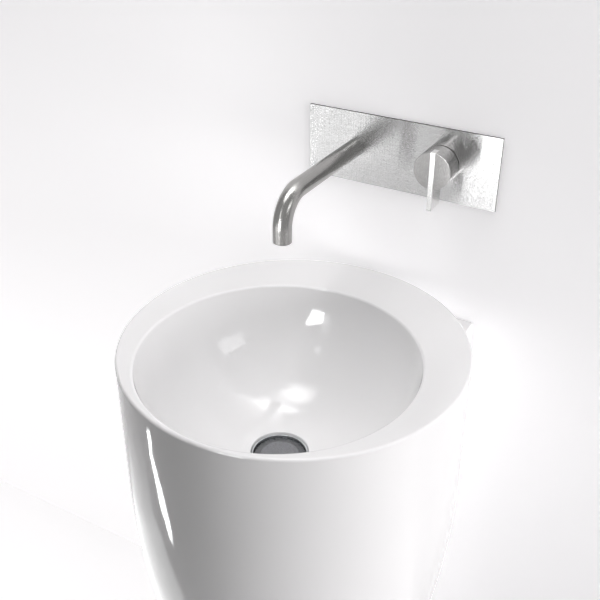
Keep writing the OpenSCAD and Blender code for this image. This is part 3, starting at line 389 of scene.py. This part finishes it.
# The bowl's underside, out to the inside of the body, and that inside down to the foot.
shell_r = BOWL_R + BOWL_WALL
ends = []
for a in aims:
    across = MOUTH_Y * math.sin(a)
    skirt = -across + math.sqrt(across ** 2 - MOUTH_Y ** 2 + (BODY_R - SHELL) ** 2)
    ends.append(min(186.0, skirt - 0.5))
low = math.asin((BOSS_R + 0.6) / shell_r)
for k in range(27):
    row = []
    for a, end in zip(aims, ends):
        t = low + (math.asin(end / shell_r) - low) * k / 26
        row.append((shell_r * math.sin(t) * math.cos(a), MOUTH_Y + shell_r * math.sin(t) * math.sin(a),
                    BOWL_Z - shell_r * math.cos(t)))
    rows.append(row)
under = [p[2] for p in rows[-1]]
for part in (0.0, 0.5, 1.0):
    rows.append([((BODY_R - SHELL) * math.cos(a), (BODY_R - SHELL) * math.sin(a),
                  z + (SPINE_Z - SHELL - z) * part) for a, z in zip(inner_turns, under)])
rows += [at(plan(z, SHELL), z) for z in [SPINE_Z - SHELL] + heights[::-1]]
rows += [at(plan(0, SHELL - 1), 1), at(plan(0, SHELL - 2), 0)]
basin = mesh_object("ceramic_basin", *skin(rows, loop=True))


def circle(origin, radius, along, axis, n):
    """A ring of n points round an axis through origin, at a distance along it. axis is X, Y or Z."""
    x, y, z = origin
    ring = []
    for k in range(n):
        u, v = radius * math.cos(2 * math.pi * k / n), radius * math.sin(2 * math.pi * k / n)
        ring.append({"X": (x + along, y + u, z + v), "Y": (x + u, y + along, z + v),
                     "Z": (x + u, y + v, z + along)}[axis])
    return ring


def rod(x, y, z, radius, length, axis, n=48):
    """Points and faces of a plain round rod that starts at a point and runs along an axis."""
    points, faces = skin([circle((x, y, z), radius, along, axis, n) for along in (0, length)])
    return points, faces + [tuple(range(n)), tuple(range(n, 2 * n))]


def join(shapes):
    """Several sets of points and faces as one."""
    points, faces = [], []
    for more_points, more_faces in shapes:
        faces += [tuple(i + len(points) for i in face) for face in more_faces]
        points += more_points
    return points, faces


def settle(item):
    """Replaces an object's mesh by the result of its modifiers."""
    made = item.evaluated_get(bpy.context.evaluated_depsgraph_get())
    item.data = bpy.data.meshes.new_from_object(made)
    item.modifiers.clear()


def cut(item, *shapes):
    """Cuts closed shapes out of an object."""
    cutter = mesh_object("cutter", *join(shapes))
    tool = item.modifiers.new("cut", "BOOLEAN")
    tool.operation, tool.solver, tool.object = "DIFFERENCE", "EXACT", cutter
    settle(item)
    bpy.data.objects.remove(cutter)


def smooth(item):
    """Smooth shading that keeps flat faces flat and edges of more than 35 degrees hard."""
    item.data.shade_smooth()
    item.data.set_sharp_from_angle(angle=math.radians(35))
    tool = item.modifiers.new("even", "WEIGHTED_NORMAL")
    tool.mode, tool.weight, tool.keep_sharp = "FACE_AREA", 80, True
    settle(item)


# The open back, through which the trap is fitted, and the holes for the wall studs and the floor screws.
WINDOW_EDGE, STUD_X, STUD_Z, FLOOR_SCREW_Z = 18, 101.5, 740, 40
window = []
for z in [-5, 0] + heights[:14] + [435 + 9 * k for k in range(23)] + [640]:
    half = SPINE_W * body_r(max(z, 0)) / BODY_R - SHELL - WINDOW_EDGE
    window.append([(-half, 214, z), (half, 214, z), (half, 238, z), (-half, 238, z)])
window_points, window_faces = skin(window)
window_faces += [(0, 1, 2, 3), tuple(len(window_points) - k for k in (4, 3, 2, 1))]
cut(basin, (window_points, window_faces),
    rod(-STUD_X, 214, STUD_Z, 8, 24, "Y"), rod(STUD_X, 214, STUD_Z, 8, 24, "Y"),
    rod(110, 0, FLOOR_SCREW_Z, 3.6, 40, "X"), rod(-150, 0, FLOOR_SCREW_Z, 3.6, 40, "X"),
    rod(126.5, 0, FLOOR_SCREW_Z, 8.2, 20, "X"), rod(-146.5, 0, FLOOR_SCREW_Z, 8.2, 20, "X"))
smooth(basin)

# Vitreous china under a clear glaze: hard, white and mirror-smooth, with the faint long waviness that
# a poured glaze keeps, so that long reflections wander slightly. Waves are about 60 mm apart.
glaze = blank("glazed_vitreous_china")
place = add(glaze, "ShaderNodeTexCoord").outputs["Object"]
waves = add(glaze, "ShaderNodeTexNoise", {"Vector": place, "Scale": 16.0, "Detail": 1.0, "Roughness": 0.4})
swell = add(glaze, "ShaderNodeBump", {"Height": waves.outputs["Fac"], "Strength": 0.35, "Distance": 0.0009})
specks = add(glaze, "ShaderNodeTexNoise", {"Vector": place, "Scale": 5.0, "Detail": 2.0})
tint = add(glaze, "ShaderNodeValToRGB", {"Fac": specks.outputs["Fac"]})
tint.color_ramp.elements[0].color = linear("#e9e9e9")
tint.color_ramp.elements[1].color = linear("#eeeeee")
china = add(glaze, "ShaderNodeBsdfPrincipled", {
    "Base Color": tint.outputs["Color"], "Roughness": 0.05, "IOR": 1.52, "Normal": swell.outputs["Normal"],
})
add(glaze, "ShaderNodeOutputMaterial", {"Surface": china.outputs[0]})


def dress(item, finish, body, slot, *nodes):
    """Gives a finished piece its material and its body, and hides the CAD nodes that it stands for. slot is not
    used.
    """
    item.data.materials.clear()
    item.data.materials.append(finish)
    if nodes:
        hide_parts(*nodes)
    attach(item, body)


dress(basin, glaze, "basin", "white_glaze", "rim", "bowl", "pedestal")


# ---- Waste ----
# A chromed brass pop-up waste: a turned flange in the bowl with a shallow dish, and a threaded tail
# below it that the locknut and the trap screw on to.
def arc(corners, steps=5):
    """A closed outline from (u, v, rounding) corners, with each corner rounded."""
    out = []
    for i, (u, v, radius) in enumerate(corners):
        here = Vector((u, v))
        if not radius:
            out.append((u, v))
            continue
        before = (Vector(corners[i - 1][:2]) - here).normalized()
        after = (Vector(corners[(i + 1) % len(corners)][:2]) - here).normalized()
        half = before.angle(after) / 2
        centre = here + (before + after).normalized() * radius / math.sin(half)
        start = here + before * radius / math.tan(half) - centre
        end = here + after * radius / math.tan(half) - centre
        sweep = math.pi - 2 * half
        for k in range(steps + 1):
            t = k / steps
            p = centre + (start * math.sin((1 - t) * sweep) + end * math.sin(t * sweep)) / math.sin(sweep)
            out.append((p.x, p.y))
    return out


def turned(outline, origin, axis, n=96):
    """Points and faces of a closed (radius, distance) outline turned round an axis through origin."""
    return skin([circle(origin, radius, along, axis, n) for radius, along in outline], loop=True)


waste = mesh_object("waste_flange", *turned(arc([
    (17.5, 628, 0.5), (17.5, 690.5, 1.5), (35.0, 690.5, 1.0), (35.3, 698, 0.5), (38, 698, 1.2), (38, 688, 0.3),
    (20.95, 688, 0.5), (20.95, 628, 0.8)]), (0, MOUTH_Y, 0), "Z"))
smooth(waste)

# Polished chrome plate: bright, slightly blue-grey and mirror-like, with faint water marks.
chrome = blank("polished_chrome_plate")
place = add(chrome, "ShaderNodeTexCoord").outputs["Object"]
marks = add(chrome, "ShaderNodeTexNoise", {"Vector": place, "Scale": 90.0, "Detail": 3.0})
dull = add(chrome, "ShaderNodeMapRange", {"Value": marks.outputs["Fac"], "To Min": 0.05, "To Max": 0.16})
plated = add(chrome, "ShaderNodeBsdfPrincipled", {
    "Base Color": linear("#d9dbdd"), "Metallic": 1.0, "Roughness": dull.outputs["Result"],
})
add(chrome, "ShaderNodeOutputMaterial", {"Surface": plated.outputs[0]})
dress(waste, chrome, "basin", "chrome_plate", "waste_body")

# ---- Plug ----
# The plug's domed cap, pressed from brass and chromed. It lifts straight up on its spindle.
plug = mesh_object("plug_cap_dome", *turned(arc([
    (0, 691.4, 0), (34.5, 691.4, 0.4), (34.5, 693.8, 0.5), (25.5, 695, 2.5), (0, 695, 0)]), (0, MOUTH_Y, 0), "Z"))
smooth(plug)

# Satin chrome: a darker, finely blasted plate. Its bevel ring is coloured darker still, as painted shade.
satin_chrome = blank("satin_chrome_plate")
place = add(satin_chrome, "ShaderNodeTexCoord").outputs["Object"]
centred = add(satin_chrome, "ShaderNodeMapping", {
    "Vector": place, "Location": (0, -MOUTH_Y / 1000, 0), "Scale": (1, 1, 0)})
radius = add(satin_chrome, "ShaderNodeVectorMath", {0: centred.outputs[0]}, operation="LENGTH").outputs["Value"]
bevel_painted_shade = add(satin_chrome, "ShaderNodeMapRange", {"Value": radius, "From Min": 0.0245, "From Max": 0.0265})
grit = add(satin_chrome, "ShaderNodeTexNoise", {"Vector": place, "Scale": 900.0, "Detail": 2.0})
# Painted shade: a darker colour from 24.5 mm out from the plug's middle, on its bevel.
colour = add(satin_chrome, "ShaderNodeMix", {
    "Factor": bevel_painted_shade.outputs[0], 6: linear("#8b8c8f"), 7: linear("#727375")}, data_type="RGBA")
dull = add(satin_chrome, "ShaderNodeMapRange", {"Value": grit.outputs["Fac"], "To Min": 0.22, "To Max": 0.34})
blasted = add(satin_chrome, "ShaderNodeBsdfPrincipled", {
    "Base Color": colour.outputs[2], "Metallic": 1.0, "Roughness": dull.outputs["Result"]})
add(satin_chrome, "ShaderNodeOutputMaterial", {"Surface": blasted.outputs[0]})
dress(plug, satin_chrome, "plug", "chrome_plate", "plug_cap")


# ---- Cover plate ----
# A 3 mm stainless steel plate over the in-wall fittings, brushed along its length, with its edges
# just broken. Its gasket lies behind it.
def slab(x_range, y_range, z_range):
    """Points and faces of a box."""
    points = [(x, y, z) for x in x_range for y in y_range for z in z_range]
    return points, [(0, 1, 3, 2), (4, 6, 7, 5), (0, 4, 5, 1), (2, 3, 7, 6), (0, 2, 6, 4), (1, 5, 7, 3)]


def bevel(item, width):
    """Rounds those edges of an object that turn by more than 30 degrees. width is in millimetres."""
    tool = item.modifiers.new("bevel", "BEVEL")
    tool.width, tool.segments, tool.limit_method = width / 1000, 3, "ANGLE"
    tool.angle_limit = math.radians(30)
    settle(item)


TAP_X, TAP_Z, HANDLE_X, HANDLE_Z = -36.0, 1027.5, 101.5, 1042.5
PLATE_X, PLATE_Z = (-107, 171), (978, 1079)
plate = mesh_object("brushed_cover_plate", *slab(PLATE_X, (230, 233), PLATE_Z))
cut(plate, rod(TAP_X, 220, TAP_Z, 10.99, 20, "Y", 96), rod(HANDLE_X, 220, HANDLE_Z, 20, 20, "Y", 96))
bevel(plate, 0.45)
smooth(plate)


def brushed(name, grain, tangent, roughness, slope, dark, light):
    """Stainless steel with fine parallel scratches. grain is the scale of the scratch pattern on each axis,
    tangent is the direction across the scratches, or None where the UV map gives it, slope is how steep their
    sides are, which smears a reflection that way, and dark and light are the colours of the scratches."""
    steel = blank(name)
    spot = add(steel, "ShaderNodeTexCoord").outputs["Object" if tangent else "UV"]
    stretched = add(steel, "ShaderNodeMapping", {"Vector": spot, "Scale": grain})
    scratch = add(steel, "ShaderNodeTexNoise", {"Vector": stretched.outputs["Vector"], "Scale": 1.0, "Detail": 4.0,
                                                "Roughness": 0.65})
    tone = add(steel, "ShaderNodeValToRGB", {"Fac": scratch.outputs["Fac"]})
    tone.color_ramp.elements[0].position, tone.color_ramp.elements[1].position = 0.3, 0.7
    tone.color_ramp.elements[0].color, tone.color_ramp.elements[1].color = linear(dark), linear(light)
    if tangent:
        way = add(steel, "ShaderNodeVectorTransform", {"Vector": tangent}, vector_type="VECTOR",
                  convert_from="OBJECT", convert_to="WORLD").outputs[0]
    else:
        way = add(steel, "ShaderNodeTangent", direction_type="UV_MAP", uv_map="UVMap").outputs[0]
    hair = add(steel, "ShaderNodeTexNoise", {"Vector": stretched.outputs["Vector"], "Scale": 9.0, "Detail": 2.0})
    side = add(steel, "ShaderNodeMapRange", {"Value": hair.outputs["Fac"], "From Min": 0.3, "From Max": 0.7,
                                             "To Min": -slope, "To Max": slope}, clamp=False)
    tilt = add(steel, "ShaderNodeVectorMath", {0: way, "Scale": side.outputs["Result"]}, operation="SCALE")
    tilted = add(steel, "ShaderNodeVectorMath", {
        0: add(steel, "ShaderNodeNewGeometry").outputs["Normal"], 1: tilt.outputs[0]}, operation="ADD")
    normal = add(steel, "ShaderNodeVectorMath", {0: tilted.outputs[0]}, operation="NORMALIZE")
    metal = add(steel, "ShaderNodeBsdfPrincipled", {
        "Base Color": tone.outputs["Color"], "Metallic": 1.0, "Roughness": roughness, "Normal": normal.outputs[0]})
    add(steel, "ShaderNodeOutputMaterial", {"Surface": metal.outputs[0]})
    return steel


# Long-grain brushed steel: bright, with reflections drawn out across the grain and sharp along it. The
# scratches are about 0.15 mm apart; their tone is drawn 1 mm apart so that it shows.
plate_steel = brushed("long_grain_brushed_steel", (30, 800, 800), (0, 0, 1), 0.08, 0.34, "#c6c6c6", "#dadada")
dress(plate, plate_steel, "basin", "brushed_plate", "cover_plate")
# The plate's sheared edges get a dark, dull steel as painted shade: it shows as a thin dark line round it, standing
# in for the shade at its edges.
painted_shade_edge = brushed("painted_shade_steel_edge", (900, 30, 900), (0, 1, 0), 0.45, 0.05, "#3c3c3c", "#565655")
plate.data.materials.append(painted_shade_edge)
# Painted shade: the side and bevel faces round the plate's edge take the dark steel.
for face in plate.data.polygons:
    inside = (PLATE_X[0] + 1 < face.center.x * 1000 < PLATE_X[1] - 1
              and PLATE_Z[0] + 2 < face.center.z * 1000 < PLATE_Z[1] - 2)
    if abs(face.normal.y) < 0.9 and not inside:
        face.material_index = 1

# ---- Spout ----
# A stainless steel tube, 25 mm across, bent through a right angle and brushed along its length, held
# on the in-wall nipple by a set screw. Its open end carries the aerator.
SPOUT_R, SPOUT_BORE, BEND, PLATE_Y, BEND_Y = 12.5, 11.0, 40.0, 230, 74
line = [((TAP_X, PLATE_Y - d, TAP_Z), (0.0, -1.0, 0.0)) for d in (0, 20, 50, 90, 130, 154)]
line += [((TAP_X, BEND_Y - BEND * math.sin(a), TAP_Z - BEND + BEND * math.cos(a)),
          (0.0, -math.cos(a), -math.sin(a))) for a in [math.pi / 2 * k / 24 for k in range(1, 25)]]
line += [((TAP_X, BEND_Y - BEND, z), (0.0, 0.0, -1.0)) for z in (980, 969.5)]


def spout_ring(place, way, radius, n=64):
    """A ring of points round the spout's line. It starts underneath."""
    up = Vector(way).cross(Vector((1, 0, 0)))
    return [tuple(Vector(place) + radius * (math.sin(2 * math.pi * k / n) * Vector((1, 0, 0))
                                            + math.cos(2 * math.pi * k / n) * up)) for k in range(n)]


def back_off(place, way, distance):
    """A point moved back against a direction."""
    return tuple(p - w * distance for p, w in zip(place, way))


spout_rows = [spout_ring(p, w, SPOUT_R) for p, w in line[:-1]]
tip, tip_way = line[-1]
spout_rows += [spout_ring(back_off(tip, tip_way, 0.5 * (1 - s)), tip_way, SPOUT_R - 0.5 * (1 - c))
               for s, c in quarter(3)]
spout_rows += [spout_ring(back_off(tip, tip_way, 0.3 * (1 - c)), tip_way, SPOUT_BORE + 0.3 * (1 - s))
               for s, c in quarter(2)]
spout_rows += [spout_ring(p, w, SPOUT_BORE) for p, w in reversed(line[:-1])]
spout = mesh_object("spout_bent_tube", *skin(spout_rows, loop=True))
# Its UV map runs along the tube and round it, in metres, so that the scratches follow the bend.
layer = spout.data.uv_layers.new(name="UVMap")
for loop in spout.data.loops:
    co = spout.data.vertices[loop.vertex_index].co * 1000
    if co.y >= BEND_Y:
        along, up_side = PLATE_Y - co.y, co.z - TAP_Z
    elif co.z > TAP_Z - BEND:
        a = math.atan2(BEND_Y - co.y, co.z - (TAP_Z - BEND))
        along = PLATE_Y - BEND_Y + BEND * a
        up_side = math.hypot(BEND_Y - co.y, co.z - (TAP_Z - BEND)) - BEND
    else:
        along = PLATE_Y - BEND_Y + BEND * math.pi / 2 + (TAP_Z - BEND - co.z)
        up_side = BEND_Y - BEND - co.y
    layer.data[loop.index].uv = (along / 1000, SPOUT_R / 1000 * math.atan2(co.x - TAP_X, up_side))
smooth(spout)
# Satin steel: softer than the plate. Its fine scratches run along the tube, and their tone is drawn 1 mm apart so
# that it shows. Its greyer tone is painted shade: darker than the plate's steel, for the dark things the tube
# reflects.
# Painted shade: the spout's steel is coloured greyer than the plate's.
spout_steel_painted_shade = brushed("satin_brushed_steel_painted_shade", (25, 1100, 1100), None, 0.2, 0.12, "#9d9c9a", "#b6b5b3")
dress(spout, spout_steel_painted_shade, "basin", "satin_steel", "spout_tube")

# ---- Handle ----
# A fixed turned collar on the plate, and in front of it a round handle of the same width with a slot
# cut across its face. The flat blade lies in the slot and hangs below the handle.
collar = mesh_object("turned_collar", *turned(arc([
    (20, 0, 0.3), (20, -27.5, 0), (17.6, -27.5, 0), (17.6, -28.5, 0.3), (25, -28.5, 0.4), (25, 0, 0.2)]),
    (HANDLE_X, PLATE_Y, HANDLE_Z), "Y", 128))
smooth(collar)
# Turned steel: a soft, even grey with fine tool marks that run round it, drawn 1 mm apart so that they show.
round_steel = brushed("turned_brushed_steel", (700, 900, 700), (0, 1, 0), 0.15, 0.25, "#a3a2a1", "#b9b8b7")
dress(collar, round_steel, "basin", "satin_steel", "handle_collar")

handle = mesh_object("round_handle", *turned(arc([
    (0, 170.5, 0), (25, 170.5, 0.7), (25, 198.7, 0.4), (6.05, 198.7, 0.2), (6.05, 190.6, 0), (0, 190.6, 0)]),
    (HANDLE_X, 0, HANDLE_Z), "Y", 128))
BLADE_HALF, SLOT_HALF = 3.5, 3.55
cut(handle, slab((HANDLE_X - SLOT_HALF, HANDLE_X + SLOT_HALF), (165, 183.5), (1000, 1080)))
smooth(handle)
dress(handle, round_steel, "handle", "satin_steel", "handle_body")

blade_side = [(169.9, 988), (169.9, 1067.25), (183.45, 1067.25), (183.45, 1017.3), (198.7, 1017.3), (198.7, 988)]
blade_points = [(x, y, z) for x in (HANDLE_X - BLADE_HALF, HANDLE_X + BLADE_HALF) for y, z in blade_side]
blade_faces = [tuple(range(6)), tuple(range(6, 12))] + [(i, (i + 1) % 6, (i + 1) % 6 + 6, i + 6) for i in range(6)]
blade = mesh_object("lever_blade_bar", blade_points, blade_faces)
bevel(blade, 0.35)
smooth(blade)
# Fine-brushed steel: nearly white, with scratches along the blade, drawn 1 mm apart so that they show.
blade_steel = brushed("fine_brushed_steel", (900, 900, 30), (1, 0, 0), 0.2, 0.10, "#dededd", "#ececeb")
dress(blade, blade_steel, "handle", "satin_steel", "lever_blade")


# ---- Fixings and fittings out of sight ----
# The trap, the wall and floor fixings, and the in-wall fittings keep their CAD shapes. Each gets the
# finish that such a part has when it is bought.
def plain(name, code_low, code_high, metallic, low, high, scale, depth):
    """A finish with a mottled colour and roughness. scale is in patches per metre, depth in metres."""
    finish = blank(name)
    spot = add(finish, "ShaderNodeTexCoord").outputs["Object"]
    mottle = add(finish, "ShaderNodeTexNoise", {"Vector": spot, "Scale": scale, "Detail": 4.0, "Roughness": 0.6})
    tone = add(finish, "ShaderNodeValToRGB", {"Fac": mottle.outputs["Fac"]})
    tone.color_ramp.elements[0].position, tone.color_ramp.elements[1].position = 0.35, 0.65
    tone.color_ramp.elements[0].color, tone.color_ramp.elements[1].color = linear(code_low), linear(code_high)
    rough = add(finish, "ShaderNodeMapRange", {"Value": mottle.outputs["Fac"], "To Min": low, "To Max": high})
    relief = add(finish, "ShaderNodeBump", {"Height": mottle.outputs["Fac"], "Strength": 0.5, "Distance": depth})
    skin_of = add(finish, "ShaderNodeBsdfPrincipled", {
        "Base Color": tone.outputs["Color"], "Metallic": metallic, "Roughness": rough.outputs["Result"],
        "Normal": relief.outputs["Normal"],
    })
    add(finish, "ShaderNodeOutputMaterial", {"Surface": skin_of.outputs[0]})
    return finish


# Zinc-plated steel is bluish and slightly dull; cast brass is sandy; galvanised sheet shows spangles
# a few millimetres wide; nylon is matt and milky; rubber is black and dull; foam is grey and open.
zinc = plain("zinc_plated_steel", "#9ea3a8", "#b9bdc2", 1.0, 0.25, 0.42, 220.0, 0.00002)
brass = plain("sand_cast_brass", "#a8853f", "#bd9a52", 1.0, 0.35, 0.55, 700.0, 0.0001)
galvanised = plain("galvanised_sheet", "#8d9296", "#b4b8bb", 1.0, 0.3, 0.55, 150.0, 0.00003)
nylon = plain("moulded_nylon", "#dedcd4", "#e8e6df", 0.0, 0.4, 0.5, 400.0, 0.00002)
rubber = plain("moulded_rubber", "#1c1c1d", "#262627", 0.0, 0.6, 0.75, 800.0, 0.00003)
foam = plain("closed_cell_foam", "#8f9092", "#a3a4a6", 0.0, 0.8, 0.9, 1500.0, 0.0002)
disc = plain("lapped_alumina", "#e6e2d9", "#ece9e1", 0.0, 0.12, 0.2, 300.0, 0.000005)
finishes = {"zinc_steel": zinc, "cast_brass": brass, "galvanised_sheet": galvanised, "white_nylon": nylon,
            "black_rubber": rubber, "grey_foam": foam, "disc_ceramic": disc, "chrome_plate": chrome,
            "satin_steel": round_steel, "white_glaze": glaze, "brushed_plate": plate_steel}
slot_of = {entry["node"]: entry["material_slot"] for entry in frame["record"]["subparts"]}
dressed = {"rim", "bowl", "pedestal", "waste_body", "plug_cap", "cover_plate", "spout_tube", "handle_collar",
           "handle_body", "lever_blade"}
for name, node in frame["nodes"].items():
    if name not in dressed:
        node.data.materials.clear()
        node.data.materials.append(finishes[slot_of[name]])


# ---- Grip ribs of the trap ----
# The trap's cup and its three slip nuts are turned brass with pressed ribs, so that they can be
# tightened by hand. The ribs are part of them and have the same chrome plate.
def new_tree(name, **sizes):
    """A geometry node tree that adds to what it is given, with its input sockets and its own inputs."""
    group = bpy.data.node_groups.new(name, "GeometryNodeTree")
    group.interface.new_socket("Geometry", in_out="OUTPUT", socket_type="NodeSocketGeometry")
    for label, kind in {"Geometry": "Geometry", **sizes, "Place": "Vector", "Turn": "Rotation",
                        "Material": "Material"}.items():
        group.interface.new_socket(label.replace("_", " "), in_out="INPUT", socket_type="NodeSocket" + kind)
    return group, add(group, "NodeGroupInput").outputs


def end_tree(group, given, grown):
    """Places what was grown, adds it to what was given, and ends the tree."""
    placed = add(group, "GeometryNodeTransform", {
        "Geometry": grown, "Translation": given["Place"], "Rotation": given["Turn"]})
    together = add(group, "GeometryNodeJoinGeometry", {"Geometry": placed.outputs["Geometry"]})
    group.links.new(given["Geometry"], together.inputs["Geometry"])
    real = add(group, "GeometryNodeRealizeInstances", {"Geometry": together.outputs["Geometry"]})
    coated = add(group, "GeometryNodeSetMaterial", {
        "Geometry": real.outputs["Geometry"], "Material": given["Material"]})
    add(group, "NodeGroupOutput", {"Geometry": coated.outputs["Geometry"]})


def grow(name, group, rows):
    """A plain mesh object grown by a geometry node tree, once for each row of input values."""
    item = mesh_object(name, [], [])
    for values in rows:
        tool = item.modifiers.new(group.name, "NODES")
        tool.node_group = group
        for socket in group.interface.items_tree:
            if socket.in_out == "INPUT" and socket.name in values:
                tool[socket.identifier] = values[socket.name]
    settle(item)
    smooth(item)
    return item


ribs_tree, given = new_tree("grip_ribs", Count="Int", Radius="Float", Rib_Radius="Float", Rib_Length="Float")
ring = add(ribs_tree, "GeometryNodeMeshCircle", {"Vertices": given["Count"], "Radius": given["Radius"]})
rib = add(ribs_tree, "GeometryNodeMeshCylinder", {
    "Vertices": 12, "Radius": given["Rib Radius"], "Depth": given["Rib Length"]})
ribs = add(ribs_tree, "GeometryNodeInstanceOnPoints", {
    "Points": ring.outputs["Mesh"], "Instance": rib.outputs["Mesh"]})
end_tree(ribs_tree, given, ribs.outputs["Instances"])

upright_turn, wall_turn = (0.0, 0.0, 0.0), (-math.pi / 2, 0.0, 0.0)
grips = grow("trap_grip_ribs", ribs_tree, [
    {"Count": count, "Radius": radius / 1000, "Rib Radius": 0.001, "Rib Length": length / 1000,
     "Place": tuple(v / 1000 for v in place), "Turn": turn, "Material": chrome}
    for count, radius, length, place, turn in (
        (36, 34.9, 44, (0, MOUTH_Y, 500), upright_turn), (28, 25.0, 12, (0, MOUTH_Y, 604), upright_turn),
        (28, 25.95, 16, (0, MOUTH_Y, 633), upright_turn), (28, 24.5, 12, (0, 7, 562), wall_turn))])
dress(grips, chrome, "basin", "chrome_plate")

# ---- Threads ----
# Rolled threads: 1.5 mm pitch on the zinc-plated wall studs, and the pipe thread of the waste's tail,
# cut in the brass before plating. The nuts run on them.
thread_tree, given = new_tree("thread", Turns="Float", Radius="Float", Length="Float", Ridge="Float")
helix = add(thread_tree, "GeometryNodeCurveSpiral", {
    "Resolution": 28, "Rotations": given["Turns"], "Start Radius": given["Radius"], "End Radius": given["Radius"],
    "Height": given["Length"]})
profile = add(thread_tree, "GeometryNodeCurvePrimitiveCircle", {"Resolution": 4, "Radius": given["Ridge"]})
ridge = add(thread_tree, "GeometryNodeCurveToMesh", {
    "Curve": helix.outputs["Curve"], "Profile Curve": profile.outputs["Curve"], "Fill Caps": True})
end_tree(thread_tree, given, ridge.outputs["Mesh"])

STUD_PITCH = 1.5
stud_threads = grow("wall_stud_threads", thread_tree, [
    {"Turns": length / STUD_PITCH, "Radius": 0.0048, "Length": length / 1000, "Ridge": 0.0006,
     "Place": (x / 1000, start / 1000, STUD_Z / 1000), "Turn": wall_turn, "Material": zinc}
    for x in (-STUD_X, STUD_X) for start, length in ((202, 5), (235, 52), (307, 1.2))])
dress(stud_threads, zinc, "basin", "zinc_steel")
tail_thread = grow("waste_tail_thread", thread_tree, [
    {"Turns": 5.5, "Radius": 0.0207, "Length": 0.0127, "Ridge": 0.0009, "Place": (0.0, MOUTH_Y / 1000, 0.6450),
     "Turn": upright_turn, "Material": chrome}])
dress(tail_thread, chrome, "basin", "chrome_plate")
